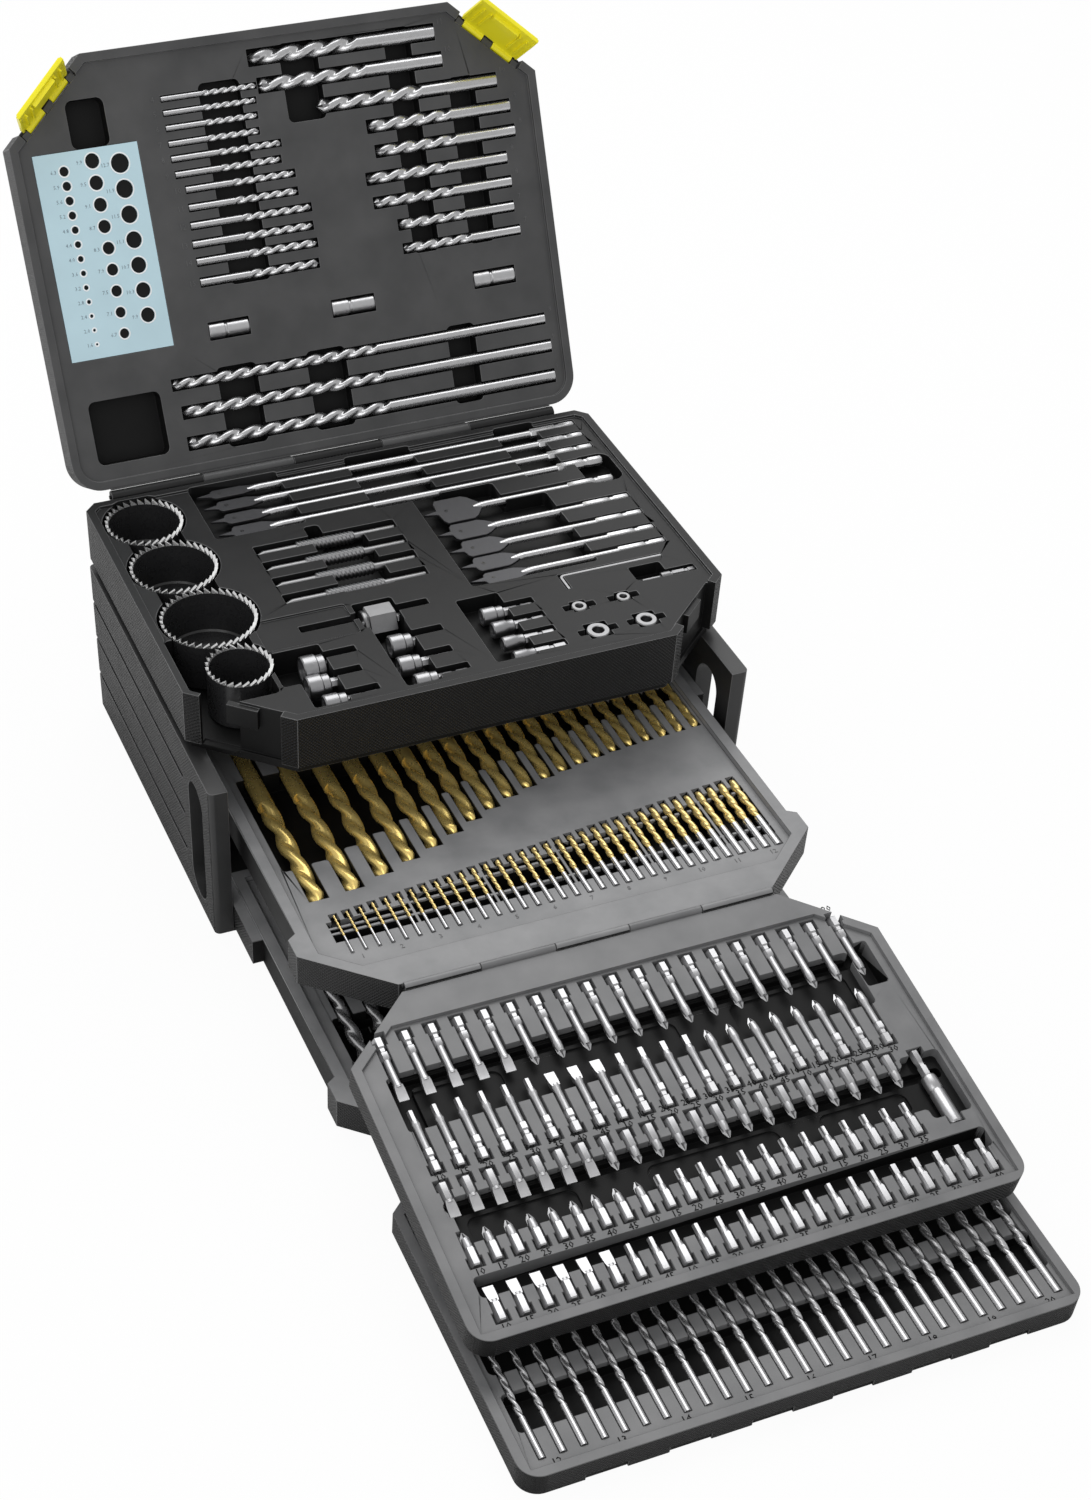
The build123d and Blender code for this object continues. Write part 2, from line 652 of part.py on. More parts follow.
def lid_shell():
    """Lid moulded in one piece, with a pocket for each thing it holds."""
    shell = prism(lid_outline, lid_back, lid_top)
    near = [e for e in shell.edges().filter_by(Axis.Z) if e.center().Y < lid_edge + 1]
    shell = fillet(near, lid_corner)
    recess = prism(lid_outline, lid_deck, lid_top + 1, rim_width)
    near = [e for e in recess.edges().filter_by(Axis.Z) if e.center().Y < lid_edge + rim_width + 1]
    shell -= fillet(near, lid_corner - rim_width)
    cuts = []
    gap = clearance
    for x0, x1, y, diameter in small_bits + medium_bits + long_lid_bits + sleeve_places:
        half = diameter / 2 + gap
        cuts.append(box(x0 - gap, x1 + gap, y - half, y + half, lid_deck + 1.5 - diameter - gap, lid_top + 1))
    # troughs under the flutes
    for x0, x1, y0, y1, depth in lid_troughs():
        cuts.append(pocket([(x0, x1, y0, y1)], lid_deck - depth, lid_top + 1, 4.0))
    cuts.append(box(plate_x[0] - gap, plate_x[1] + gap, plate_y[0] - gap, plate_y[1] + gap,
                    lid_deck - plate_thickness, lid_top + 1))
    for x0, x1, y0, y1, depth in (case_pocket, finger_slot):
        cuts.append(pocket([(x0, x1, y0, y1)], lid_deck - depth, lid_top + 1, 5.0))
    shell -= cuts
    for side in (-1, 1):
        shell -= lid_corner_place(side) * box(-latch_seat_width / 2, latch_seat_width / 2,
                                              -latch_seat_depth, 10, lid_back - 1, lid_top + 1)
        shell += lid_lugs(side)
    for x0, x1 in hinge_spans(lid_hinge_length, 5)[1::2]:
        knuckle = rod_x(x0, x1, 0, 0, lid_barrel)
        web = box(x0, x1, 0, lid_edge + 1, lid_top - 3.6, lid_top)
        shell += knuckle + web
    return shell - rod_x(-half_width, half_width, 0, 0, lid_pin + clearance / 2)


def lid_troughs():
    """Deep troughs in the lid: x0, x1, y0, y1 and depth below the deck."""
    troughs = [(-56.0, -26.0, 128.0, 262.0, 9.0), (6.0, 34.0, 228.0, 280.0, 12.0),
               (84.0, 104.0, 128.0, 280.0, 12.0), (128.0, 148.0, 128.0, 242.0, 12.0),
               (-78.0, -48.0, 18.0, 74.0, 13.0), (-10.0, 20.0, 18.0, 74.0, 13.0),
               (100.0, 122.0, 18.0, 74.0, 13.0)]
    return [(across(x0), across(x1), lid_near + along(y0 - 7.5), lid_near + along(y1 - 7.5), depth)
            for x0, x1, y0, y1, depth in troughs]


def lid_corner_place(side):
    """Middle of a cut corner of the lid, X along the cut and Y pointing out."""
    x = side * (half_width - corner_cut_x / 2)
    y = lid_far - corner_cut_y / 2
    return Pos(x, y, 0) * Rot(0, 0, -side * corner_angle())


def lid_lugs(side):
    """Three lugs that carry a latch's pin."""
    lugs = None
    axis_z = lid_top - latch_axis_depth
    for x0, x1 in latch_lug_spans():
        lug = rod_x(x0, x1, -latch_axis_in, axis_z, latch_barrel)
        lug += box(x0, x1, -latch_seat_depth - 0.5, -latch_axis_in, axis_z - latch_barrel, axis_z + latch_barrel)
        lugs = lug if lugs is None else lugs + lug
    lugs -= rod_x(-half_width, half_width, -latch_axis_in, axis_z, latch_pin + clearance / 2)
    return lid_corner_place(side) * lugs


def latch_lug_spans():
    """Where the lugs stand along a latch's pin."""
    end = latch_width / 2
    return [(-end - 2.5, -end + 3.0), (-4.0, 4.0), (end - 3.0, end + 2.5)]


save("lid_shell", lid_place * lid_shell())
save("small_masonry_bits", *[lid_place * lid_bit(*bit, tip_left=False) for bit in small_bits])
save("medium_masonry_bits", *[lid_place * lid_bit(*bit, tip_left=True) for bit in medium_bits])
save("long_masonry_bits", *[lid_place * lid_bit(*bit, tip_left=True) for bit in long_lid_bits])

sleeves = []
for x0, x1, y, diameter in sleeve_places:
    radius = diameter / 2
    length = x1 - x0
    sleeve = turned((0, radius), (length * 0.4, radius), (length * 0.4, radius * 0.86), (length, radius * 0.86))
    sleeve -= Pos(0, length * 0.2, 0) * Rot(90, 0, 0) * Cylinder(radius * 0.5, length * 0.5)
    sleeves.append(lid_place * along_x(sleeve, x0, y, lid_deck + 1.5 - radius))
save("drill_sleeves", *sleeves)

plate = box(plate_x[0], plate_x[1], plate_y[0], plate_y[1], lid_deck - plate_thickness, lid_deck)
plate_width = plate_x[1] - plate_x[0]
plate_length = plate_y[1] - plate_y[0]
holes = []
for place, first, last, diameters in plate_hole_rows:
    x = plate_x[0] + place * plate_width
    for share, diameter in zip(spaced(1 - first, 1 - last, len(diameters)), diameters):
        y = plate_y[0] + share * plate_length
        holes.append(Pos(x, y, lid_deck) * Cylinder(diameter / 2, plate_thickness * 3))
plate -= holes
save("gauge_plate", lid_place * plate)

# ---------------------------------------------------------------- latches
latch_axis_z = lid_top - latch_axis_depth


def latch(side):
    """Latch hanging on its pin: plate, side ribs and the hook that catches under the tray's catch."""
    half = latch_width / 2
    barrel = rod_x(-half, half, 0, 0, latch_barrel)
    outer = latch_barrel
    plate = box(-half, half, outer - latch_plate, outer, 0, latch_length)
    # ribs stiffen the two ends
    ribs = box(-half, -half + 2.0, 0, outer, 0, latch_length - 4)
    ribs += box(half - 2.0, half, 0, outer, 0, latch_length - 4)
    hook_low = latch_axis_depth + lid_seam + catch_low + clearance
    hook = box(-catch_width / 2, catch_width / 2, outer - latch_plate - hook_reach, outer,
               hook_low, hook_low + 4.0)
    body = barrel + plate + ribs + hook
    for x0, x1 in latch_lug_spans():
        body -= box(x0 - clearance, x1 + clearance, -5, 5, -5, latch_barrel + 0.8)
    body -= rod_x(-half - 5, half + 5, 0, 0, latch_pin + clearance / 2)
    swung = Pos(0, -latch_axis_in, latch_axis_z) * Rot(-latch_rest, 0, 0) * body
    return lid_place * lid_corner_place(side) * swung


save("latch_left", latch(-1))
save("latch_right", latch(1))

pin_half = latch_width / 2 + 2.5
latch_pin_rod = rod_x(-pin_half, pin_half, -latch_axis_in, latch_axis_z, latch_pin)
save("latch_pins", *[lid_place * lid_corner_place(side) * latch_pin_rod for side in (-1, 1)])

# ---------------------------------------------------------------- drawers
drawer_outline = mirrored([
    (drawer_half - drawer_cut_x, 0),
    (drawer_half, drawer_cut_y),
    (drawer_half, drawer_flare),
    (drawer_body_half, drawer_flare + drawer_taper),
    (drawer_body_half, drawer_length),
])
hinge_length = 2 * (drawer_half - drawer_cut_x) - 4.0


def drawer_tray(slots, troughs):
    """Drawer drawn with its front at Y 0 and its rim at Z 0, slots and troughs cut into its deck."""
    shell = prism(drawer_outline, -drawer_height, 0)
    shoe_low = -drawer_height
    for side in (-1, 1):
        x0, x1 = sorted((side * (drawer_body_half - 1), side * shoe_half))
        shell += box(x0, x1, shoe_front, drawer_length, shoe_low, shoe_low + shoe_height)
    side = drawer_body_half - drawer_margin
    sunk = box(-side, side, drawer_band, drawer_length - drawer_margin, -drawer_deck, 1)
    sunk &= prism(drawer_outline, -drawer_deck, 1, drawer_margin)
    shell -= [sunk] + slots + troughs
    for x0, x1 in hinge_spans(hinge_length, tray_hinge_count)[0::2]:
        knuckle = rod_x(x0, x1, -tray_near, tray_seam / 2, tray_barrel)
        web = box(x0, x1, -tray_near, 1, tray_seam / 2 - tray_barrel, 0)
        shell += knuckle + web
    return shell - rod_x(-half_width, half_width, -tray_near, tray_seam / 2, tray_pin + clearance / 2)


def bit_slot(x, y0, y1, diameter, deck, proud):
    """Slot along Y in a deck for a bit whose top stands proud of that deck."""
    half = diameter / 2 + clearance
    floor = deck + proud - diameter - clearance
    return box(x - half, x + half, y0 - clearance, y1 + clearance, floor, 5)


proud = 1.5                                   # how far a bit's top stands above its deck

# drawer 1: gold-coloured twist bits, large ones behind, small ones in front
large_x = [over(x) for x in (
    -148.0, -122.5, -99.5, -78.0, -58.7, -40.5, -23.5, -7.1, 9.2, 25.3,
    40.8, 55.0, 69.0, 83.0, 96.3, 109.5, 122.8, 135.8, 148.8, 161.5)]
large_tip = [back(y) for y in (
    95.0, 97.0, 104.0, 111.0, 118.0, 126.0, 134.0, 141.0, 148.0, 153.0,
    158.0, 161.0, 164.0, 166.5, 168.5, 170.0, 171.0, 172.0, 173.0, 174.0)]
large_diameter = spaced(13.0, 6.4, 20)
large_end = back(258.0)
small_x = spaced(over(-145.0), over(157.0), 34)
small_start = drawer_band + 17.0
small_length = spaced(36.0, 72.0, 34)
small_diameter = spaced(1.5, 5.6, 34)


def twist_bit(length, diameter, shank_end):
    """Drill bit from its shank end at Y 0 to its point, or the other way round."""
    radius = diameter / 2
    solid = turned((0, radius * 0.95), (length * 0.35, radius * 0.95), (length * 0.36, radius),
                   (length - radius * 1.2, radius), (length, 0.2))
    if shank_end:
        return solid
    return Pos(0, length, 0) * Rot(0, 0, 180) * solid


drawer_1_place = Pos(0, drawer_1_front, drawer_1_rim)
pad_length = 33.0           # each tip lies between pads of this length
rear_seat = back(226.0)     # shanks of the large bits lie in a bar behind this
pocket_floor = -drawer_height + 2.5
small_trough = small_start + 12
group_size = 6              # small bits that share a stretch of trough
slots = []
gaps = []
for x, tip, diameter in zip(large_x, large_tip, large_diameter):
    slots.append(bit_slot(x, tip, large_end, diameter, -drawer_deck, proud))
    half = diameter / 2 + clearance
    gaps.append((x - half, x + half, tip + pad_length - 9, rear_seat))
for i in range(len(large_x) - 1):
    pad_end = max(large_tip[i], large_tip[i + 1]) + pad_length
    gaps.append((large_x[i], large_x[i + 1], pad_end, rear_seat))
gaps.append((large_x[0] - large_diameter[0], large_x[0], large_tip[0] + pad_length, rear_seat))
troughs = [pocket(gaps, pocket_floor, 1, 2.0)]
for i in range(0, len(small_x), group_size):
    group = small_x[i:i + group_size]
    tip = small_start + small_length[i]
    low = group[0] - 3.5
    high = group[-1] + 3.5
    if i == 0:
        low = low - 3.0
    troughs.append(box(low, high, small_trough, small_trough + 7, pocket_floor, 1))
    troughs.append(box(low, high, small_trough + 9, tip - 12, pocket_floor, 1))
    troughs.append(box(low, high, tip - 10, tip - 5, pocket_floor, 1))
for x, length, diameter in zip(small_x, small_length, small_diameter):
    tip = small_start + length
    slots.append(bit_slot(x, small_start, tip, diameter, -drawer_deck, proud))
    slots.append(box(x - 2.8, x + 2.8, tip - 5.5, tip + 2.0, -drawer_deck - 5.5, 1))
save("drawer_1_tray", drawer_1_place * drawer_tray(slots, troughs))

large = []
for x, tip, diameter in zip(large_x, large_tip, large_diameter):
    z = -drawer_deck + proud - diameter / 2
    large.append(drawer_1_place * Pos(x, tip, z) * twist_bit(large_end - tip, diameter, False))
save("large_gold_bits", *large)

small = []
for x, length, diameter in zip(small_x, small_length, small_diameter):
    z = -drawer_deck + proud - diameter / 2
    small.append(drawer_1_place * Pos(x, small_start, z) * twist_bit(length, diameter, True))
save("small_gold_bits", *small)

tray_pin_half = hinge_length / 2 + 1.0
save("tray_1_hinge_pin", rod_x(-tray_pin_half, tray_pin_half, hinge_1_y, hinge_1_z, tray_pin))

# drawer 2: its contents are hidden under drawer 1; long twist bits are taken to lie there
drawer_2_place = Pos(0, drawer_2_front, drawer_2_rim)
hidden_x = spaced(over(-148.0), over(148.0), 16)
hidden_tip = back(60.0)
hidden_length = 140.0
hidden_diameter = 10.0
slots = [bit_slot(x, hidden_tip, hidden_tip + hidden_length, hidden_diameter, -drawer_deck, proud)
         for x in hidden_x]
well = (over(-158.0), over(158.0))
troughs = [pocket([(*well, back(76.0), back(118.0))], pocket_floor, 1, 3.0),
           pocket([(*well, back(150.0), back(164.0))], pocket_floor, 1, 3.0),
           pocket([(*well, back(208.0), back(262.0))], pocket_floor, 1, 3.0)]
save("drawer_2_tray", drawer_2_place * drawer_tray(slots, troughs))
hidden_z = -drawer_deck + proud - hidden_diameter / 2
hidden = [drawer_2_place * Pos(x, hidden_tip, hidden_z) * twist_bit(hidden_length, hidden_diameter, False)
          for x in hidden_x]
save("long_twist_bits", *hidden)
save("tray_2_hinge_pin", rod_x(-tray_pin_half, tray_pin_half, hinge_2_y, hinge_2_z, tray_pin))

# ---------------------------------------------------------------- folding trays
# A folding tray is drawn level with its hinge axis at the origin, reaching along -Y.
tray_rim = -tray_seam / 2
tray_bottom = tray_rim - tray_height
tray_2_tilt = math.degrees(math.asin((hinge_2_z + tray_rim - tray_height) / tray_far))
tray_1_place = Pos(0, hinge_1_y, hinge_1_z) * Rot(tray_1_tilt, 0, 0)
tray_2_place = Pos(0, hinge_2_y, hinge_2_z) * Rot(tray_2_tilt, 0, 0)
tray_shape = mirrored([
    (tray_half - drawer_cut_x, -tray_near),
    (tray_half, -tray_near - drawer_cut_y),
    (tray_half, -tray_far),
])


def folding_tray(slots, troughs):
    """Folding tray with its own knuckles, its deck stepped down inside the rim."""
    shell = prism(tray_shape, tray_bottom, tray_rim)
    far = [e for e in shell.edges().filter_by(Axis.Z) if e.center().Y < -tray_far + 1]
    shell = fillet(far, tray_corner)
    sunk = box(-tray_half, tray_half, -tray_far, -tray_band, tray_rim - tray_deck, 5)
    sunk &= prism(tray_shape, tray_bottom, 6, tray_rim_width)
    shell -= [sunk] + slots + troughs
    for x0, x1 in hinge_spans(hinge_length, tray_hinge_count)[1::2]:
        knuckle = rod_x(x0, x1, 0, 0, tray_barrel)
        web = box(x0, x1, -tray_near - 1, 0, -tray_barrel, tray_rim)
        shell += knuckle + web
    return shell - rod_x(-half_width, half_width, 0, 0, tray_pin + clearance / 2)


deck = tray_rim - tray_deck
driver_hex = 6.35           # across flats

# rows of driver bits: near and far distance from the hinge, first and last x, count, tip away
driver_rows = {
    "power_bits_row_1": (30.0, 78.0, -157.0, 157.0, 19, True),
    "power_bits_row_2": (86.0, 132.5, -157.0, 146.0, 21, False),
    "insert_bits_row_3": (140.0, 164.0, -158.0, 138.0, 21, True),
    "insert_bits_row_4": (175.0, 199.0, -159.0, 131.5, 22, False),
    "insert_bits_row_5": (213.0, 237.0, -158.5, 163.0, 23, False),
}
holder = (over(158.0), out(141.0), out(198.0), 10.0)   # x, near and far distance, diameter


def recess(x0, x1, s0, s1):
    """Rectangle in a folding tray's plan, given across it and outward from its hinge."""
    return (over(x0), over(x1), -out(s1), -out(s0))


def driver_bit(length):
    """Hexagonal driver bit from Y 0 to its point."""
    radius = driver_hex / math.sqrt(3)
    body = Rot(90, 0, 0) * extrude(RegularPolygon(radius, 6), amount=-length * 0.62)
    point = turned((length * 0.6, 2.6), (length * 0.85, 2.2), (length, 0.8))
    return body + point


seat_half = driver_hex / 2 + 0.6            # half the width of each slot
end_half = 5.0                              # half the width of the pocket at each bit's flat end
deep = tray_bottom + 2.5                    # floor of the dark troughs
shallow = tray_rim - 10.0                   # floor of the wide recesses
slots = []
nodes = {}
for name, (near, far, first, last, count, tip_away) in driver_rows.items():
    near = out(near)
    far = out(far)
    solid = driver_bit(far - near)
    z = deck + proud - driver_hex / 2
    floor = deck + proud - driver_hex - clearance
    bits = []
    for x in spaced(over(first), over(last), count):
        slots.append(box(x - seat_half, x + seat_half, -far - clearance, -near + clearance, floor, 5))
        if tip_away:
            slots.append(box(x - end_half, x + end_half, -near - 6, -near + 2, floor, 5))
            bits.append(tray_1_place * Pos(x, -near, z) * Rot(0, 0, 180) * solid)
        else:
            slots.append(box(x - end_half, x + end_half, -far - 1.5, -far + 6, floor, 5))
            bits.append(tray_1_place * Pos(x, -far, z) * solid)
    nodes[name] = bits
holder_x, holder_near, holder_far, holder_diameter = holder
slots.append(bit_slot(holder_x, -holder_far, -holder_near, holder_diameter, deck, proud))
troughs = [
    # beyond the first row: dark trough, then the wide recess that the tips of both rows share
    pocket([recess(-163, 168, 61, 67), recess(-163, -148, 61, 101), recess(154, 169, 54, 88)], deep, 5, 2.0),
    pocket([recess(-160, 153, 59, 101)], shallow, 5, 3.0),
    pocket([recess(-152, -92, 70, 97)], shallow - 1.5, 5, 6.0),
    pocket([recess(-52, 26, 70, 97)], shallow - 1.5, 5, 6.0),
    pocket([recess(64, 146, 70, 97)], shallow - 1.5, 5, 6.0),
    # between the third and fourth rows
    pocket([recess(-163, 170, 154, 161)], deep, 5, 2.5),
    pocket([recess(-160, 145, 152, 184), recess(145, 172, 145, 192)], shallow, 5, 3.0),
    pocket([recess(-152, -82, 164, 181)], shallow - 1.5, 5, 6.0),
    pocket([recess(-36, 52, 164, 181)], shallow - 1.5, 5, 6.0),
    pocket([recess(80, 140, 164, 181)], shallow - 1.5, 5, 6.0),
    # beyond the fourth row
    pocket([recess(-165, 171, 206, 220)], deep, 5, 3.0),
]
save("tray_1", tray_1_place * folding_tray(slots, troughs))
for name, bits in nodes.items():
    save(name, *bits)
holder_z = deck + proud - holder_diameter / 2
holder_length = holder_far - holder_near
holder_solid = turned((0, 3.2), (20, 3.2), (21, holder_diameter / 2), (holder_length, holder_diameter / 2))
save("bit_holder", tray_1_place * Pos(holder_x, -holder_near, holder_z) * Rot(0, 0, 180) * holder_solid)

# tray 2: one row of twist bits, points toward the hinge
row_x = spaced(over(-165.0), over(168.0), 27)
row_length = spaced(80.0, 95.0, 27)
row_diameter = spaced(4.2, 5.6, 27)
row_far = out(236.5)
slots = []
row_bits = []
for x, length, diameter in zip(row_x, row_length, row_diameter):
    slots.append(bit_slot(x, -row_far, -row_far + length, diameter, deck, proud))
    z = deck + proud - diameter / 2
    row_bits.append(tray_2_place * Pos(x, -row_far, z) * twist_bit(length, diameter, True))
troughs = [
    pocket([recess(-171, 174, 136, 176)], deep, 5, 4.0),
    pocket([recess(-171, 174, 190, 217)], deep, 5, 3.0),
    pocket([recess(-150, 150, 60, 128)], shallow, 5, 8.0),
]
# shallow notches along the foot of the far wall
for x in spaced(over(-130.0), over(130.0), 6):
    troughs.append(box(x - 13, x + 13, -tray_far - 1, -tray_far + notch_depth, tray_bottom - 1, tray_bottom + 5))
save("tray_2", tray_2_place * folding_tray(slots, troughs))
save("twist_bits", *row_bits)
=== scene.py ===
import json
import math
import random

import bmesh
import bpy
from mathutils import Matrix, Vector

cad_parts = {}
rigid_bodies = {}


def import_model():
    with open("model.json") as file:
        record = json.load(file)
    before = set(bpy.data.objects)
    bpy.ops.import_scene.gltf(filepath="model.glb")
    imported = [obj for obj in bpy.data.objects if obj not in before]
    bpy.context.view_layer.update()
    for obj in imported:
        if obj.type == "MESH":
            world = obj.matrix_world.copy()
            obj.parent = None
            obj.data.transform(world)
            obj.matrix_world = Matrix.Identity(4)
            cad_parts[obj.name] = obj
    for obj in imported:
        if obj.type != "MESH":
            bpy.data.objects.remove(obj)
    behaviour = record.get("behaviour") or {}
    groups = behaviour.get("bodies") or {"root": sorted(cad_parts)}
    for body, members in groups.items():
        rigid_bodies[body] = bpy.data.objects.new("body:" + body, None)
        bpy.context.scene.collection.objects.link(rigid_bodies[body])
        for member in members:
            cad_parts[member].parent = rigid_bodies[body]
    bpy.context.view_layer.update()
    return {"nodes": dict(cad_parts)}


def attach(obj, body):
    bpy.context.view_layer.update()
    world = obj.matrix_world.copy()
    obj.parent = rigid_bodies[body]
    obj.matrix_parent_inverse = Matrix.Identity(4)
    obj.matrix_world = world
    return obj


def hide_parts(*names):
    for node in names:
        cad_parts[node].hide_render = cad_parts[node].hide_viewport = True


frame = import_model()

# ------------------------------------------------------------------ side panels
# Two ribbed walls of black moulded plastic with the grips in their front edges.
# They slide down over the base panel. The outer faces carry a fine cross knurl.
mm = 0.001
plastic_tone = 0.020
knurl_pitch = 1.8 * mm
# tone of the pale plastic that paints a highlight along rounded edges and colours the raised numbers
edge_highlight_and_number_tone = 0.10


def link(tree, source, output, target, socket):
    """Join two nodes of a tree."""
    tree.links.new(source.outputs[output], target.inputs[socket])


def math_node(tree, operation, first, second=None):
    """Math node fed by numbers or by (node, output) pairs."""
    node = tree.nodes.new("ShaderNodeMath")
    node.operation = operation
    for slot, value in enumerate((first, second)):
        if value is None:
            continue
        if isinstance(value, tuple):
            link(tree, value[0], value[1], node, slot)
        else:
            node.inputs[slot].default_value = value
    return node


def moulded_plastic(name, tone, up=None, roughness=0.42, gloss=0.5):
    """Satin black plastic with a faint grain; with an up direction it carries the cross knurl, with painted shade
    in its grooves and a painted highlight on its ridges.
    """
    material = bpy.data.materials.new(name)
    material.use_nodes = True
    tree = material.node_tree
    shader = tree.nodes["Principled BSDF"]
    shader.inputs["Roughness"].default_value = roughness
    shader.inputs["Specular IOR Level"].default_value = gloss
    place = tree.nodes.new("ShaderNodeTexCoord")
    cloud = tree.nodes.new("ShaderNodeTexNoise")
    cloud.inputs["Scale"].default_value = 35.0
    cloud.inputs["Detail"].default_value = 3.0
    link(tree, place, "Object", cloud, "Vector")
    colour = tree.nodes.new("ShaderNodeValToRGB")
    colour.color_ramp.elements[0].position = 0.3
    colour.color_ramp.elements[0].color = (tone * 0.82, tone * 0.83, tone * 0.85, 1)
    colour.color_ramp.elements[1].position = 0.75
    colour.color_ramp.elements[1].color = (tone * 1.2, tone * 1.2, tone * 1.22, 1)
    link(tree, cloud, "Fac", colour, "Fac")
    link(tree, colour, "Color", shader, "Base Color")
    shine = tree.nodes.new("ShaderNodeMapRange")
    shine.inputs["To Min"].default_value = roughness - 0.06
    shine.inputs["To Max"].default_value = roughness + 0.08
    link(tree, cloud, "Fac", shine, "Value")
    link(tree, shine, "Result", shader, "Roughness")
    grain = tree.nodes.new("ShaderNodeTexNoise")
    grain.inputs["Scale"].default_value = 1400.0
    link(tree, place, "Object", grain, "Vector")
    bump = tree.nodes.new("ShaderNodeBump")
    bump.inputs["Strength"].default_value = 0.25
    bump.inputs["Distance"].default_value = 0.08 * mm
    link(tree, grain, "Fac", bump, "Height")
    link(tree, bump, "Normal", shader, "Normal")
    if up is None:
        return material
    # cross knurl: two sets of diagonal ridges on any face that stands along the up direction
    side = tree.nodes.new("ShaderNodeVectorMath")
    side.operation = "CROSS_PRODUCT"
    link(tree, place, "Normal", side, 0)
    side.inputs[1].default_value = up
    sideways = tree.nodes.new("ShaderNodeVectorMath")
    sideways.operation = "DOT_PRODUCT"
    link(tree, place, "Object", sideways, 0)
    link(tree, side, "Vector", sideways, 1)
    rising = tree.nodes.new("ShaderNodeVectorMath")
    rising.operation = "DOT_PRODUCT"
    link(tree, place, "Object", rising, 0)
    rising.inputs[1].default_value = up
    turns = 2 * math.pi / knurl_pitch
    ridges = []
    for operation in ("ADD", "SUBTRACT"):
        slope = math_node(tree, operation, (sideways, "Value"), (rising, "Value"))
        phase = math_node(tree, "MULTIPLY", (slope, "Value"), turns * 0.707)
        ridges.append(math_node(tree, "SINE", (phase, "Value")))
    diamond = math_node(tree, "MINIMUM", (ridges[0], "Value"), (ridges[1], "Value"))
    # painted shade in the knurl's grooves and painted highlight on its ridges: the colour runs from a quarter to
    # nearly twice its tone
    shade = tree.nodes.new("ShaderNodeMapRange")
    shade.inputs["From Min"].default_value = -1.0
    shade.inputs["To Min"].default_value = 0.25
    shade.inputs["To Max"].default_value = 1.9
    link(tree, diamond, "Value", shade, "Value")
    knurl_painted_light = tree.nodes.new("ShaderNodeVectorMath")
    knurl_painted_light.operation = "SCALE"
    link(tree, colour, "Color", knurl_painted_light, 0)
    link(tree, shade, "Result", knurl_painted_light, "Scale")
    link(tree, knurl_painted_light, "Vector", shader, "Base Color")
    knurl = tree.nodes.new("ShaderNodeBump")
    knurl.inputs["Strength"].default_value = 1.0
    knurl.inputs["Distance"].default_value = 0.4 * mm
    link(tree, diamond, "Value", knurl, "Height")
    link(tree, bump, "Normal", knurl, "Normal")
    link(tree, knurl, "Normal", shader, "Normal")
    return material


def smooth_by_angle(mesh, degrees):
    """Smooth shading that keeps edges sharper than the angle."""
    mesh.shade_smooth()
    mesh.set_sharp_from_angle(angle=math.radians(degrees))


def dress(name, mesh, body, slot, *materials):
    """Object for a finished mesh, riding on a body."""
    piece = bpy.data.objects.new(name, mesh)
    bpy.context.scene.collection.objects.link(piece)
    if materials and len(mesh.materials):
        mesh.materials.clear()
    for material in materials:
        mesh.materials.append(material)
    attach(piece, body)
    return piece


def softened(mesh, width, edge_material=-1, up=Vector((0, 0, 1))):
    """Plain mesh with its sharp edges rounded over; faces level with the deck are shaded flat."""
    holder = bpy.data.objects.new("softening", mesh)
    bpy.context.scene.collection.objects.link(holder)
    bevel = holder.modifiers.new("rounded edges", "BEVEL")
    bevel.width = width * mm
    bevel.segments = 2
    bevel.limit_method = "ANGLE"
    bevel.angle_limit = math.radians(38)
    bevel.use_clamp_overlap = False
    bevel.material = edge_material
    flat = holder.modifiers.new("flat faces", "WEIGHTED_NORMAL")
    flat.weight = 80
    bpy.context.view_layer.update()
    graph = bpy.context.evaluated_depsgraph_get()
    result = bpy.data.meshes.new_from_object(holder.evaluated_get(graph))
    bpy.data.objects.remove(holder)
    normals = [corner.vector.copy() for corner in result.corner_normals]
    for face in result.polygons:
        if abs(face.normal.dot(up)) > 0.9995:
            for corner in face.loop_indices:
                normals[corner] = face.normal.copy()
    result.normals_split_custom_set(normals)
    return result


def merged_copy(node):
    """Copy of a CAD node's mesh with its loose triangles joined."""
    mesh = frame["nodes"][node].data.copy()
    mesh.materials.clear()
    work = bmesh.new()
    work.from_mesh(mesh)
    bmesh.ops.remove_doubles(work, verts=work.verts, dist=0.002 * mm)
    for face in work.faces:
        face.smooth = True
        face.material_index = 0
    work.to_mesh(mesh)
    work.free()
    return mesh


def moulding(node, name, body, plain, outer, is_outer, up=Vector((0, 0, 1)), deck=None):
    """Stand-in for a moulded CAD node: softened edges with a painted highlight, knurled outer faces, painted shade
    in the pockets.

    A deck height along the up direction tells which faces lie in the pockets under it; these get painted shade."""
    blank = merged_copy(node)
    for material in (plain, outer, edge_highlight_and_number_plastic, pocket_painted_shade):
        blank.materials.append(material)
    # the rounded edges take the pale plastic as a painted highlight
    mesh = softened(blank, 0.35, 2, up)
    for face in mesh.polygons:
        if is_outer(face.center, face.normal):
            face.material_index = max(face.material_index, 1)
        # faces sunk in the pockets under the deck are painted shade
        elif deck is not None and face.normal.dot(up) > -0.3 and face.center.dot(up) < deck - pocket_shade_depth:
            face.material_index = 3
    piece = dress(name, mesh, body, "black_plastic")
    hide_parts(node)
    return piece


pocket_shade_depth = 2.6 * mm
# pale plastic: painted highlight on the rounded edges of the mouldings, and the colour of the raised numbers
edge_highlight_and_number_plastic = moulded_plastic("painted edge highlight and numbers", edge_highlight_and_number_tone, roughness=0.35)
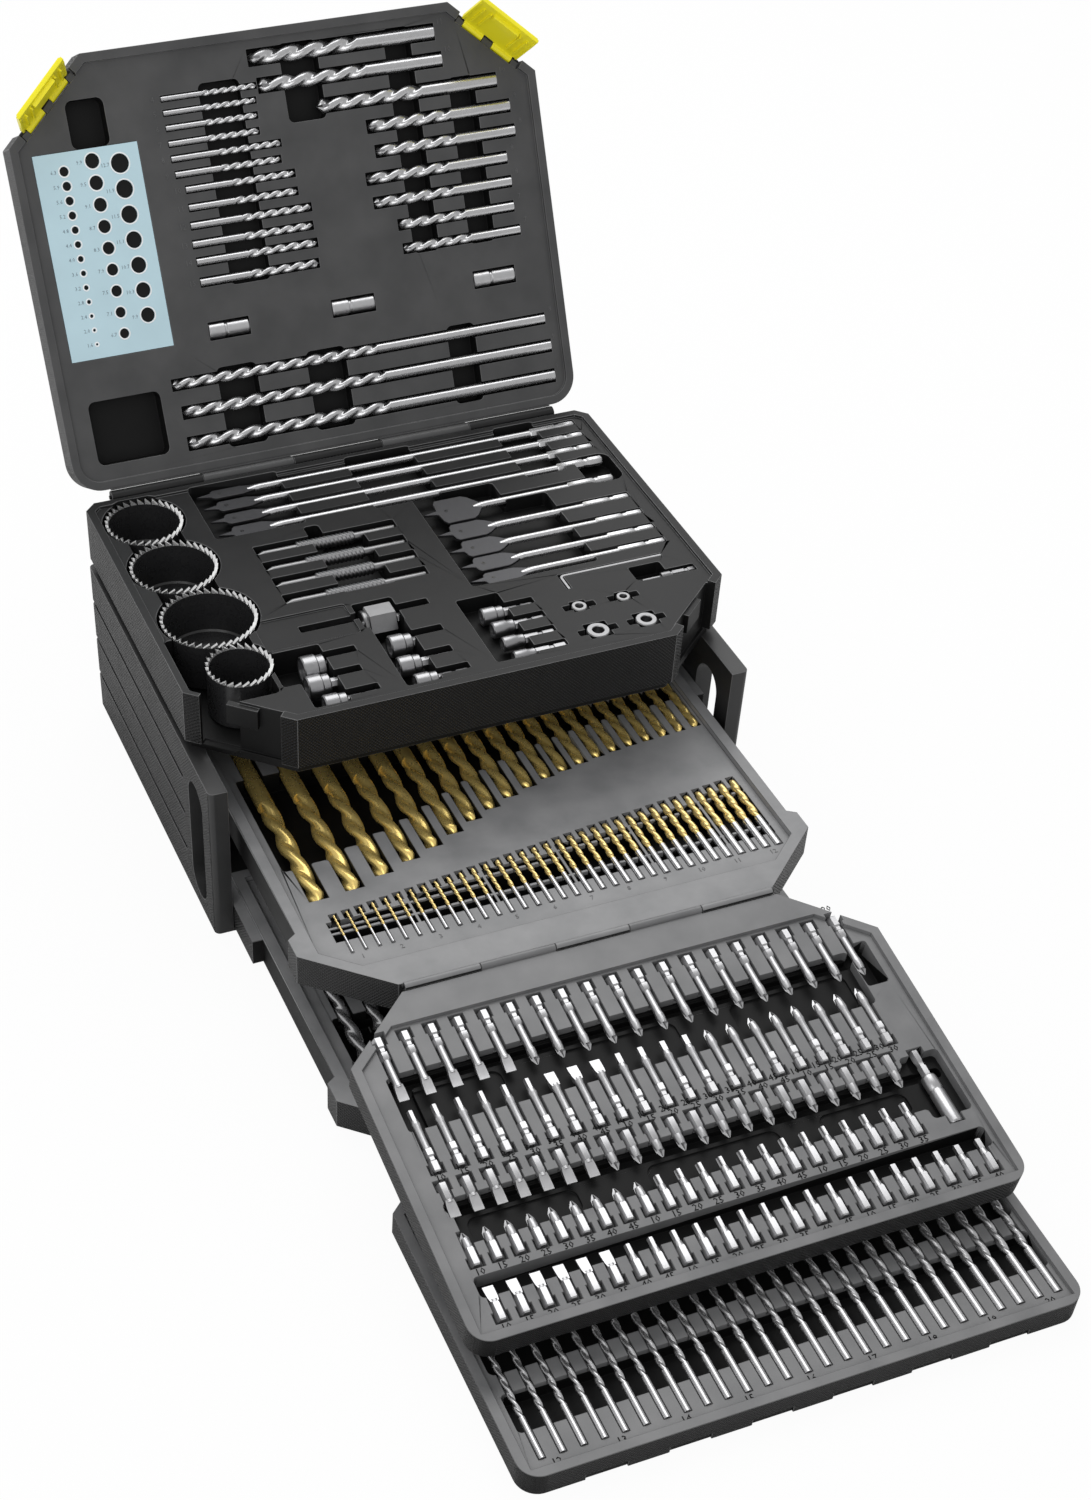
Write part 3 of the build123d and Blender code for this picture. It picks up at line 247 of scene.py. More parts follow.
# near-black plastic: painted shade in the pockets under a deck
pocket_painted_shade = moulded_plastic("painted pocket shade", plastic_tone * 0.3, roughness=0.5, gloss=0.2)
body_plastic = moulded_plastic("body plastic", plastic_tone)
# the knurled walls and skirt are a darker copy of the body plastic: painted shade
shaded_body_knurl = moulded_plastic("body knurl with painted shade", plastic_tone * 0.6, up=(0, 0, 1), gloss=0.25)
for side in ("left", "right"):
    moulding(f"side_panel_{side}", f"{side}_wall", "case", body_plastic, shaded_body_knurl,
             lambda centre, normal: abs(centre.x) > 0.1925 and abs(normal.x) > 0.9)

# ------------------------------------------------------------------ base and rear panel
# Flat moulded panels behind and under the drawers, snapped between the side walls.
for node in ("base_panel", "rear_panel"):
    panel = frame["nodes"][node]
    panel.data.materials.clear()
    panel.data.materials.append(body_plastic)

# ------------------------------------------------------------------ top tray
# Skirted tray of the same black plastic, screwed down on the side walls. Its deck has a pocket
# for each tool, its skirt is knurled, and each cut corner has a smooth seat with a catch.
tray_half_width = 195 * mm
tray_half_depth = 142 * mm
cut_x = 60 * mm
cut_y = 53 * mm
deck_tone = 0.019
deck_height = 167.0


def beyond_cut(x, y, half_x, half_y, cut_along_x, cut_along_y):
    """How far a point lies outside a cut corner; y counts outward."""
    reach = (abs(x) - half_x + cut_along_x) * cut_along_y + (y - half_y) * cut_along_x
    return reach / math.hypot(cut_along_x, cut_along_y)


def on_top_tray_skirt(centre, normal):
    if abs(normal.z) > 0.3:
        return False
    out = max(abs(centre.x) - tray_half_width, abs(centre.y) - tray_half_depth,
              beyond_cut(centre.x, -centre.y, tray_half_width, tray_half_depth, cut_x, cut_y))
    return out > -0.6 * mm


deck_plastic = moulded_plastic("deck plastic", deck_tone, roughness=0.45, gloss=0.2)
moulding("top_tray", "top_tray_moulding", "case", deck_plastic, shaded_body_knurl, on_top_tray_skirt,
         deck=deck_height * mm)

# ------------------------------------------------------------------ hole saws
# Four black lacquered cups of rolled steel with set teeth, the teeth ground bright,
# standing teeth up on their hubs in the recess at the left.
saws = [(-159.5, 111.0, 54.0), (-156.5, 51.5, 60.0), (-152.5, -13.5, 65.0), (-150.0, -70.5, 44.0)]
saw_top = 168.0
saw_height = 38.0
saw_wall = 1.8
tooth_height = 3.4
tooth_pitch = 5.2


def steel(name, tone, roughness, metallic=1.0, streak=0.015, grain=260.0):
    """Metal with fine scratches in its roughness and a slightly uneven tone."""
    material = bpy.data.materials.new(name)
    material.use_nodes = True
    tree = material.node_tree
    shader = tree.nodes["Principled BSDF"]
    shader.inputs["Metallic"].default_value = metallic
    place = tree.nodes.new("ShaderNodeTexCoord")
    cloud = tree.nodes.new("ShaderNodeTexNoise")
    cloud.inputs["Scale"].default_value = grain
    cloud.inputs["Detail"].default_value = 2.0
    link(tree, place, "Object", cloud, "Vector")
    shine = tree.nodes.new("ShaderNodeMapRange")
    shine.inputs["From Min"].default_value = 0.3
    shine.inputs["From Max"].default_value = 0.7
    shine.inputs["To Min"].default_value = max(roughness - streak, 0.05)
    shine.inputs["To Max"].default_value = roughness + streak
    link(tree, cloud, "Fac", shine, "Value")
    link(tree, shine, "Result", shader, "Roughness")
    colour = tree.nodes.new("ShaderNodeValToRGB")
    colour.color_ramp.elements[0].color = (*[part * 0.95 for part in tone], 1)
    colour.color_ramp.elements[1].color = (*tone, 1)
    colour.color_ramp.elements[0].position = 0.35
    colour.color_ramp.elements[1].position = 0.6
    link(tree, cloud, "Fac", colour, "Fac")
    link(tree, colour, "Color", shader, "Base Color")
    return material


def round_section(count, phase=0.0):
    """Regular section of a turned or hexagonal part, as unit (x, z) points."""
    return [(math.cos(phase + 2 * math.pi * i / count), math.sin(phase + 2 * math.pi * i / count))
            for i in range(count)]


def star_section(points, inner):
    """Section with pointed ribs, as on a cross or star tip."""
    section = []
    for i in range(2 * points):
        reach = 1.0 if i % 2 == 0 else inner
        angle = math.pi * i / points
        section.append((reach * math.cos(angle), reach * math.sin(angle)))
    return section


def add_skin(work, place, stations, section, material_index=0):
    """Closed skin over rings (distance along Y, width, height in mm) of one section."""
    rings = []
    for station in stations:
        along, wide = station[0], station[1]
        high = station[2] if len(station) > 2 else wide
        rings.append([work.verts.new(place @ Vector((x * wide * mm, along * mm, z * high * mm)))
                      for x, z in section])
    count = len(section)
    faces = [work.faces.new(rings[0]), work.faces.new(list(reversed(rings[-1])))]
    for low, high in zip(rings, rings[1:]):
        for i in range(count):
            j = (i + 1) % count
            faces.append(work.faces.new((low[j], low[i], high[i], high[j])))
    for face in faces:
        face.material_index = material_index


def finish_mesh(work, name, degrees=35):
    """Mesh from finished skins, faces outward."""
    bmesh.ops.recalc_face_normals(work, faces=work.faces)
    mesh = bpy.data.meshes.new(name)
    work.to_mesh(mesh)
    work.free()
    smooth_by_angle(mesh, degrees)
    return mesh


def sockets_of(tree, inputs):
    """Declare a geometry tree's inputs and its one output; returns its input and output nodes."""
    tree.interface.new_socket("Geometry", in_out="INPUT", socket_type="NodeSocketGeometry")
    for name, kind in inputs:
        tree.interface.new_socket(name, in_out="INPUT", socket_type=kind)
    tree.interface.new_socket("Geometry", in_out="OUTPUT", socket_type="NodeSocketGeometry")
    return tree.nodes.new("NodeGroupInput"), tree.nodes.new("NodeGroupOutput")


def set_inputs(modifier, values):
    """Set a tree's named inputs by their identifiers."""
    for item in modifier.node_group.interface.items_tree:
        if item.item_type == "SOCKET" and item.in_out == "INPUT" and item.name in values:
            modifier[item.identifier] = values[item.name]


def grown(tree, mesh, value_sets):
    """Plain meshes that a geometry tree gives from one base mesh, one for each set of inputs."""
    growers = []
    for values in value_sets:
        grower = bpy.data.objects.new("grower", mesh.copy())
        bpy.context.scene.collection.objects.link(grower)
        modifier = grower.modifiers.new("tree", "NODES")
        modifier.node_group = tree
        set_inputs(modifier, values)
        growers.append(grower)
    bpy.context.view_layer.update()
    graph = bpy.context.evaluated_depsgraph_get()
    meshes = [bpy.data.meshes.new_from_object(grower.evaluated_get(graph)) for grower in growers]
    for grower in growers:
        bpy.data.objects.remove(grower)
    return meshes


def teeth_tree():
    """Geometry tree that sets one tooth, the base mesh, on each of Count points round Radius."""
    tree = bpy.data.node_groups.new("saw teeth", "GeometryNodeTree")
    entry, result = sockets_of(tree, [("Radius", "NodeSocketFloat"), ("Count", "NodeSocketInt"),
                                      ("Material", "NodeSocketMaterial")])
    circle = tree.nodes.new("GeometryNodeMeshCircle")
    link(tree, entry, "Count", circle, "Vertices")
    link(tree, entry, "Radius", circle, "Radius")
    place = tree.nodes.new("GeometryNodeInputPosition")
    facing = tree.nodes.new("FunctionNodeAlignRotationToVector")
    facing.axis = "X"
    link(tree, place, "Position", facing, "Vector")
    sets = tree.nodes.new("GeometryNodeInstanceOnPoints")
    link(tree, circle, "Mesh", sets, "Points")
    link(tree, entry, "Geometry", sets, "Instance")
    link(tree, facing, "Rotation", sets, "Rotation")
    real = tree.nodes.new("GeometryNodeRealizeInstances")
    link(tree, sets, "Instances", real, "Geometry")
    paint = tree.nodes.new("GeometryNodeSetMaterial")
    link(tree, real, "Geometry", paint, "Geometry")
    link(tree, entry, "Material", paint, "Material")
    link(tree, paint, "Geometry", result, "Geometry")
    return tree


black_lacquer = steel("black lacquer", (0.022, 0.022, 0.023), 0.3, metallic=0.0, streak=0.08)
ground_teeth = steel("ground teeth", (0.9, 0.9, 0.9), 0.5)
tooth_work = bmesh.new()
half_wall = saw_wall / 2
tooth_points = [(-half_wall, -2.1, 0), (half_wall, -2.1, 0), (half_wall, 1.9, 0), (-half_wall, 1.9, 0),
                (half_wall + 0.7, 2.3, tooth_height), (-half_wall + 0.2, 2.0, tooth_height)]
corners = [tooth_work.verts.new(Vector(point) * mm) for point in tooth_points]
for ring in ((3, 2, 1, 0), (0, 1, 4, 5), (2, 3, 5, 4), (1, 2, 4), (3, 0, 5)):
    tooth_work.faces.new([corners[i] for i in ring])
tooth_mesh = finish_mesh(tooth_work, "saw tooth")
teeth = teeth_tree()
upright = Matrix.Rotation(math.radians(90), 4, "X")
for number, (x, y, diameter) in enumerate(saws, start=1):
    outer = diameter / 2
    inner = outer - saw_wall
    rim = saw_top - tooth_height
    low = saw_top - saw_height
    work = bmesh.new()
    place = Matrix.Translation((x * mm, y * mm, 0)) @ upright
    # the cup and its hub as one turned profile: outside, over the rim, down inside, up the hub
    stations = [(low, outer - 1.2), (low + 1.2, outer), (rim, outer), (rim, inner), (low + 5.2, inner),
                (low + 4, inner - 1.2), (low + 4, 9.5), (low + 9, 9.2), (low + 9, 4.0), (low + 3.5, 4.0)]
    add_skin(work, place, stations, round_section(64))
    mesh = finish_mesh(work, f"saw cup {number}")
    count = int(math.pi * diameter / tooth_pitch)
    ring = grown(teeth, tooth_mesh, [{"Radius": (outer - half_wall) * mm, "Count": count,
                                      "Material": ground_teeth}])[0]
    ring.transform(Matrix.Translation((x * mm, y * mm, rim * mm)))
    cup = dress(f"saw_cup_{number}", mesh, "case", "blackened_steel", black_lacquer)
    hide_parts(f"hole_saw_{number}")
    dress(f"saw_teeth_{number}", ring, "case", "bright_steel", ground_teeth)

# ------------------------------------------------------------------ spade bits
# Forged flat bits of bright steel: a ground paddle with a centre spur on a round shank that ends
# in a hexagon. Nine of them lie pressed into slots of the top tray, points to the left.
spade_long_rows = [(130.0, 10.0), (114.0, 12.0), (97.0, 12.0), (79.5, 14.0)]
spade_short_rows = [(54.0, 29.0), (27.0, 19.0), (5.0, 19.0), (-15.0, 16.0), (-33.0, 13.0)]
spade_long_x = (-115.0, 181.0)
spade_short_x = (30.0, 178.0)
spade_axis = 167.0 - 6.35 / 2
hexagon = round_section(6, math.radians(0))
disc = round_section(16)


def add_spade_bit(work, place, length, width):
    """One spade bit from its spur at Y 0 to the end of its hexagonal shank."""
    half = width / 2
    outline = [(0, 0), (2.2, 10.5), (half * 0.75, 11.5), (half, 13.6), (half, 34), (half * 0.8, 38),
               (3.0, 44), (-3.0, 44), (-half * 0.8, 38), (-half, 34), (-half, 13.6), (-half * 0.75, 11.5),
               (-2.2, 10.5)]
    top = [work.verts.new(place @ (Vector((x, y, 1.0)) * mm)) for x, y in outline]
    bottom = [work.verts.new(place @ (Vector((x, y, -1.0)) * mm)) for x, y in outline]
    blade = [work.faces.new(top), work.faces.new(list(reversed(bottom)))]
    for i in range(len(outline)):
        j = (i + 1) % len(outline)
        blade.append(work.faces.new((top[i], bottom[i], bottom[j], top[j])))
    for face in blade:
        face.material_index = 1
    hole = place @ Matrix.Translation((0, 17.5 * mm, 0)) @ upright
    add_skin(work, hole, [(-1.06, 1.7), (1.06, 1.7)], disc, 2)
    add_skin(work, place, [(38, 2.0, 1.1), (44, 3.0, 2.4), (48, 2.6), (length - 36, 2.6), (length - 35, 3.1)],
             disc)
    add_skin(work, place, [(length - 36, 2.9), (length - 35, 3.6), (length - 16, 3.6), (length - 15, 3.0),
                           (length - 12, 3.0), (length - 11, 3.6), (length - 1, 3.6), (length, 3.0)], hexagon)


bright_steel = steel("bright steel", (0.62, 0.62, 0.63), 0.27, metallic=0.9)
# darker grey paddle steel, its tone lowered further as painted shade to dim its highlight
dimmed_paddle_steel = steel("paddle steel with painted shade", (0.10, 0.10, 0.105), 0.5)
along_right = Matrix.Rotation(math.radians(-90), 4, "Z")
for name, node, rows, (start, end) in (
        ("spade_bits_long", "long_spade_bits", spade_long_rows, spade_long_x),
        ("spade_bits_short", "short_spade_bits", spade_short_rows, spade_short_x)):
    work = bmesh.new()
    for y, width in rows:
        place = Matrix.Translation(Vector((start, y, spade_axis)) * mm) @ along_right
        add_spade_bit(work, place, end - start, width)
    piece = dress(name, finish_mesh(work, name), "case", "bright_steel", bright_steel, dimmed_paddle_steel, black_lacquer)
    bevel = piece.modifiers.new("ground edges", "BEVEL")
    bevel.width = 0.3 * mm
    bevel.segments = 1
    bevel.limit_method = "ANGLE"
    bevel.angle_limit = math.radians(50)
    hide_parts(node)

# ------------------------------------------------------------------ rasp bits
# Four rotary rasps: a dark body cut all over with crossed teeth, between a plain pilot and a plain
# round shank. They lie pressed into the middle of the top tray.
rasp_rows = [49.5, 29.5, 9.5, -11.5]
rasp_start = -98.0
rasp_axis = 167.0 - 9.5 / 2
rasp_sides = 30
rasp_pitch = 3.0
rasp_steps = 86


def add_rasp(work, place):
    """One rasp: the toothed middle is a skin whose radius rises and falls along crossed spirals."""
    add_skin(work, place, [(0, 0.6), (6, 3.1), (29, 3.1), (31, 3.0)], disc)
    add_skin(work, place, [(72, 3.0), (73, 3.1), (103, 3.1), (104, 2.7)], disc)
    rings = []
    for step in range(rasp_steps + 1):
        along = 30.0 + 43.0 * step / rasp_steps
        ease = min(1.0, (step + 1) / 3, (rasp_steps + 1 - step) / 3)
        ring = []
        for i in range(rasp_sides):
            angle = 2 * math.pi * i / rasp_sides
            tooth = 0.55 * math.sin(2 * math.pi * along / rasp_pitch + 3 * angle)
            radius = 3.2 + (1.0 + tooth) * ease
            ring.append(work.verts.new(place @ (Vector((radius * math.cos(angle), along,
                                                        radius * math.sin(angle))) * mm)))
        rings.append(ring)
    work.faces.new(rings[0])
    work.faces.new(list(reversed(rings[-1])))
    for low, high in zip(rings, rings[1:]):
        for i in range(rasp_sides):
            j = (i + 1) % rasp_sides
            work.faces.new((low[j], low[i], high[i], high[j]))


dark_steel = steel("dark steel", (0.27, 0.27, 0.275), 0.34)
work = bmesh.new()
for y in rasp_rows:
    add_rasp(work, Matrix.Translation(Vector((rasp_start, y, rasp_axis)) * mm) @ along_right)
rasps = dress("rasps", finish_mesh(work, "rasps", 60), "case", "blackened_steel", dark_steel)
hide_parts("rasp_bits")

# ------------------------------------------------------------------ hole saw arbor and pilot drill
# Blackened hexagonal arbor that takes the saws, with a hexagonal shank; a bright pilot drill is
# clamped in it and points left.
arbor_start = -55.0
arbor_row = -46.0
arbor_axis = 167.0 - 9.0
pilot_length = 43.0


def fluted_tree():
    """Geometry tree for a twist drill along Y: a plain shank, then a fluted body up to the point."""
    tree = bpy.data.node_groups.new("fluted drill", "GeometryNodeTree")
    entry, result = sockets_of(tree, [
        ("Length", "NodeSocketFloat"), ("Diameter", "NodeSocketFloat"), ("Shank", "NodeSocketFloat"),
        ("Shank diameter", "NodeSocketFloat"), ("Pitch", "NodeSocketFloat"), ("Flute depth", "NodeSocketFloat"),
        ("Steps", "NodeSocketInt"), ("Material", "NodeSocketMaterial")])

    def line(first, last, steps):
        path = tree.nodes.new("GeometryNodeCurvePrimitiveLine")
        for socket, value in (("Start", first), ("End", last)):
            point = tree.nodes.new("ShaderNodeCombineXYZ")
            if isinstance(value, float):
                point.inputs["Y"].default_value = value
            else:
                link(tree, value[0], value[1], point, "Y")
            link(tree, point, "Vector", path, socket)
        divide = tree.nodes.new("GeometryNodeResampleCurve")
        link(tree, path, "Curve", divide, "Curve")
        if isinstance(steps, int):
            divide.inputs["Count"].default_value = steps
        else:
            link(tree, steps[0], steps[1], divide, "Count")
        return divide

    # fluted body: the section is a circle pressed in on two sides, twisted along the path
    fluted = line((entry, "Shank"), (entry, "Length"), (entry, "Steps"))
    along = tree.nodes.new("GeometryNodeSplineParameter")
    turns = math_node(tree, "DIVIDE", (along, "Length"), (entry, "Pitch"))
    angle = math_node(tree, "MULTIPLY", (turns, "Value"), -2 * math.pi)
    twist = tree.nodes.new("GeometryNodeSetCurveTilt")
    link(tree, fluted, "Curve", twist, "Curve")
    link(tree, angle, "Value", twist, "Tilt")
    body = math_node(tree, "SUBTRACT", (entry, "Length"), (entry, "Shank"))
    left = math_node(tree, "SUBTRACT", (body, "Value"), (along, "Length"))
    point_length = math_node(tree, "MULTIPLY", (entry, "Diameter"), 0.42)
    cone = math_node(tree, "DIVIDE", (left, "Value"), (point_length, "Value"))
    taper = math_node(tree, "MINIMUM", (cone, "Value"), 1.0)
    blunt = math_node(tree, "MAXIMUM", (taper, "Value"), 0.04)
    section = tree.nodes.new("GeometryNodeCurvePrimitiveCircle")
    section.inputs["Resolution"].default_value = 18
    radius = math_node(tree, "MULTIPLY", (entry, "Diameter"), 0.5)
    link(tree, radius, "Value", section, "Radius")
    place = tree.nodes.new("GeometryNodeInputPosition")
    unit = tree.nodes.new("ShaderNodeVectorMath")
    unit.operation = "NORMALIZE"
    link(tree, place, "Position", unit, 0)
    parts = tree.nodes.new("ShaderNodeSeparateXYZ")
    link(tree, unit, "Vector", parts, "Vector")
    across = math_node(tree, "ABSOLUTE", (parts, "X"))
    press = math_node(tree, "POWER", (across, "Value"), 3.4)
    depth = math_node(tree, "MULTIPLY", (press, "Value"), (entry, "Flute depth"))
    keep = math_node(tree, "SUBTRACT", 1.0, (depth, "Value"))
    pressed = tree.nodes.new("ShaderNodeVectorMath")
    pressed.operation = "SCALE"
    link(tree, place, "Position", pressed, 0)
    link(tree, keep, "Value", pressed, "Scale")
    flute = tree.nodes.new("GeometryNodeSetPosition")
    link(tree, section, "Curve", flute, "Geometry")
    link(tree, pressed, "Vector", flute, "Position")
    sizing = tree.nodes.new("GeometryNodeSetCurveRadius")
    link(tree, twist, "Curve", sizing, "Curve")
    link(tree, blunt, "Value", sizing, "Radius")
    skin = tree.nodes.new("GeometryNodeCurveToMesh")
    skin.inputs["Fill Caps"].default_value = True
    link(tree, sizing, "Curve", skin, "Curve")
    link(tree, flute, "Geometry", skin, "Profile Curve")
    if "Scale" in skin.inputs:
        width = tree.nodes.new("GeometryNodeInputRadius")
        link(tree, width, "Radius", skin, "Scale")
    # plain shank
    plain = line(0.0, (entry, "Shank"), 2)
    ring = tree.nodes.new("GeometryNodeCurvePrimitiveCircle")
    ring.inputs["Resolution"].default_value = 16
    half = math_node(tree, "MULTIPLY", (entry, "Shank diameter"), 0.5)
    link(tree, half, "Value", ring, "Radius")
    shank = tree.nodes.new("GeometryNodeCurveToMesh")
    shank.inputs["Fill Caps"].default_value = True
    link(tree, plain, "Curve", shank, "Curve")
    link(tree, ring, "Curve", shank, "Profile Curve")
    both = tree.nodes.new("GeometryNodeJoinGeometry")
    link(tree, skin, "Mesh", both, "Geometry")
    link(tree, shank, "Mesh", both, "Geometry")
    real = tree.nodes.new("GeometryNodeRealizeInstances")
    link(tree, both, "Geometry", real, "Geometry")
    paint = tree.nodes.new("GeometryNodeSetMaterial")
    link(tree, real, "Geometry", paint, "Geometry")
    link(tree, entry, "Material", paint, "Material")
    link(tree, paint, "Geometry", result, "Geometry")
    return tree


def drills(name, bits, material, shank_share=0.3, pitch=4.6, flute_depth=0.5, shank_scale=0.96):
    """One mesh of twist drills: each has a place for its shank end, a length and a diameter in mm."""
    values = []
    for place, length, diameter in bits:
        values.append({"Length": length * mm, "Diameter": diameter * mm, "Shank": length * shank_share * mm,
                       "Shank diameter": diameter * shank_scale * mm, "Pitch": diameter * pitch * mm,
                       "Flute depth": flute_depth, "Material": material,
                       "Steps": max(12, int(length * (1 - shank_share) / (diameter * pitch) * 18))})
    work = bmesh.new()
    for (place, length, diameter), mesh in zip(bits, grown(drill_tree, empty_mesh, values)):
        mesh.transform(place)
        work.from_mesh(mesh)
    return finish_mesh(work, name, 50)


drill_tree = fluted_tree()
empty_mesh = bpy.data.meshes.new("empty")
work = bmesh.new()
place = Matrix.Translation(Vector((arbor_start, arbor_row, arbor_axis)) * mm) @ along_right
add_skin(work, place, [(3.0, 10.8), (3.8, 12.0), (22.2, 12.0), (23, 10.8)], hexagon)
add_skin(work, place, [(0, 9.4), (0.5, 9.9), (2.2, 9.9), (2.6, 9.4), (3.2, 9.4)], round_section(28))
add_skin(work, place, [(22.5, 5.4), (24.5, 5.4), (25, 3.0), (25.5, 3.0)], disc)
add_skin(work, place, [(23.5, 3.0), (24, 3.35), (47.4, 3.35), (48, 2.8)], hexagon)
arbor = dress("arbor", finish_mesh(work, "arbor"), "case", "blackened_steel", dark_steel)
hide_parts("hole_saw_arbor")
along_left = Matrix.Rotation(math.radians(90), 4, "Z")
pilot_place = Matrix.Translation(Vector((arbor_start - 0.3, arbor_row, arbor_axis)) * mm) @ along_left
pilot = dress("pilot", drills("pilot", [(pilot_place, pilot_length, 6.2)], bright_steel), "case",
              "bright_steel", bright_steel)
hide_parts("pilot_drill")

# ------------------------------------------------------------------ nut setters
# Ten magnetic nut setters of bright steel: a round socket with a hexagonal mouth and a dark magnet
# inside, on a hexagonal shank. They lie in three groups at the front of the top tray.
setters = [(-110.0, -79.5, 19.0), (-114.0, -100.5, 16.0), (-110.0, -123.0, 14.0),
           (-47.0, -77.0, 15.0), (-50.0, -101.0, 14.0), (-46.0, -122.0, 13.0),
           (23.0, -69.0, 12.0), (24.0, -86.0, 11.0), (24.0, -103.5, 10.0), (25.0, -120.5, 9.0)]
work = bmesh.new()
for x, y, diameter in setters:
    place = Matrix.Translation(Vector((x, y, 167.0 - diameter / 2)) * mm) @ along_right
    radius = diameter / 2
    bore = radius - 1.7
    add_skin(work, place, [(3.6, bore), (0.6, bore), (0, radius - 0.8), (0.8, radius), (9.5, radius),
                           (10.5, radius * 0.88), (15, radius * 0.88), (16, radius * 0.7), (16, 3.0)],
             round_section(28))
    add_skin(work, place, [(15.5, 3.0), (16.5, 3.4), (26, 3.4), (26.6, 2.8), (29, 2.8), (29.6, 3.4), (37.4, 3.4),
                           (38, 2.9)], hexagon)
    add_skin(work, place, [(2.4, bore * 0.55), (3.9, bore * 0.55)], disc, 1)
setter_mesh = finish_mesh(work, "nut setters")
setter_steel = steel("tumbled steel", (0.40, 0.40, 0.41), 0.36)
nut_setters = dress("setters", setter_mesh, "case", "bright_steel", setter_steel, black_lacquer)
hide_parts("nut_setters")

# ------------------------------------------------------------------ drill stops, hex key and step bit
# Four blackened stop rings with a grub screw each, a bent hexagonal key to turn it, and one short
# step bit, all pressed into the right front of the top tray.
stops = [(88.0, -86.5, 11.0), (88.7, -116.0, 16.0), (124.6, -115.7, 15.0), (121.0, -86.5, 10.0)]
stop_height = 8.0
key_corner = (90.0, -50.0)
key_axis = 167.0 - 1.5
step_place = (142.0, -71.0, 167.0 - 3.5)
work = bmesh.new()
for x, y, diameter in stops:
    place = Matrix.Translation(Vector((x, y, 167.0 - stop_height)) * mm) @ upright
    radius = diameter / 2
    add_skin(work, place, [(0.5, radius * 0.5), (0, radius - 0.6), (0.6, radius), (stop_height - 0.6, radius),
                           (stop_height, radius - 0.6), (stop_height, radius * 0.55),
                           (stop_height - 0.5, radius * 0.5), (1.0, radius * 0.48)], round_section(28))
    screw = Matrix.Translation(Vector((x + radius - 0.2, y, 163.0)) * mm) @ along_right
    add_skin(work, screw, [(-2, 1.5), (0.6, 1.5), (0.8, 1.2)], disc)
stop_rings = dress("stop_rings", finish_mesh(work, "stop rings"), "case", "bright_steel", dark_steel)
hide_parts("drill_stops")
work = bmesh.new()
key_x, key_y = key_corner
bend = 3.0
path = [(key_x + 77.0, key_y), (key_x + bend, key_y)]
for step in range(1, 5):
    angle = math.radians(90 + 18 * step)
    path.append((key_x + bend + bend * math.cos(angle), key_y - bend + bend * math.sin(angle)))
path += [(key_x, key_y - bend), (key_x, key_y - 16.0)]
rings = []
for index, (x, y) in enumerate(path):
    before = Vector(path[max(index - 1, 0)])
    after = Vector(path[min(index + 1, len(path) - 1)])
    ahead = (after - before).normalized()
    ring = []
    for across_part, up_part in hexagon:
        ring.append(work.verts.new(Vector((x + ahead.y * across_part * 1.6, y - ahead.x * across_part * 1.6,
                                           key_axis + up_part * 1.6)) * mm))
    rings.append(ring)
work.faces.new(rings[0])
work.faces.new(list(reversed(rings[-1])))
for low, high in zip(rings, rings[1:]):
    for i in range(6):
        work.faces.new((low[i], low[(i + 1) % 6], high[(i + 1) % 6], high[i]))
key = dress("key", finish_mesh(work, "key"), "case", "blackened_steel", dark_steel)
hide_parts("hex_key")
work = bmesh.new()
place = Matrix.Translation(Vector(step_place) * mm) @ along_right
add_skin(work, place, [(0, 0.3), (2, 1.5), (14, 1.5), (14.6, 1.5), (15.4, 3.4), (22, 3.4), (22.6, 2.6), (24, 2.6)],
         disc)
add_skin(work, place, [(23.5, 2.4), (24, 3.0), (33, 3.0), (33.6, 2.5), (35.4, 2.5), (36, 3.0), (40.5, 3.0),
                       (41, 2.6)], hexagon)
step_bit = dress("step_drill", finish_mesh(work, "step drill"), "case", "bright_steel", dark_steel)
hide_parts("step_bit")

# ------------------------------------------------------------------ hinge pins
# Plain drawn steel wires through the knuckles of the lid, the latches and the folding trays.
# the steel is painted near black, as the shade in the hinge gaps between the knuckles
shaded_pin_steel = steel("pin steel painted shade", (0.03, 0.03, 0.031), 0.5)
for node in ("lid_hinge_pin", "latch_pins", "tray_1_hinge_pin", "tray_2_hinge_pin"):
    pin = frame["nodes"][node]
    pin.data.materials.clear()
    pin.data.materials.append(shaded_pin_steel)

# ------------------------------------------------------------------ lid
# One-piece lid of the same black plastic, swung back on its hinge, with pressed-in pockets for
# masonry bits. Its thick outer edge is knurled and its cut corners carry the latches.
lid_place = Matrix.Translation((0, 149.5 * mm, 165.9 * mm)) @ Matrix.Rotation(math.radians(62.4), 4, "X")
# the lid's black plastic is painted lighter than the body's: painted light on its face
lid_lit_tone = 0.062
lid_far = 291.5 * mm
lid_near = 5.3 * mm
lid_deck = -5.9
lip_half = 171.0
square = [(-1, -1), (1, -1), (1, 1), (-1, 1)]
from_lid = lid_place.inverted()
lid_up = lid_place.to_3x3() @ Vector((0, 0, 1))


def on_lid_edge(centre, normal):
    if abs(normal.dot(lid_up)) > 0.3:
        return False
    flat = from_lid @ centre
    out = max(abs(flat.x) - tray_half_width, flat.y - lid_far, lid_near - flat.y,
              beyond_cut(flat.x, flat.y, tray_half_width, lid_far, cut_x, cut_y))
    return out > -0.6 * mm


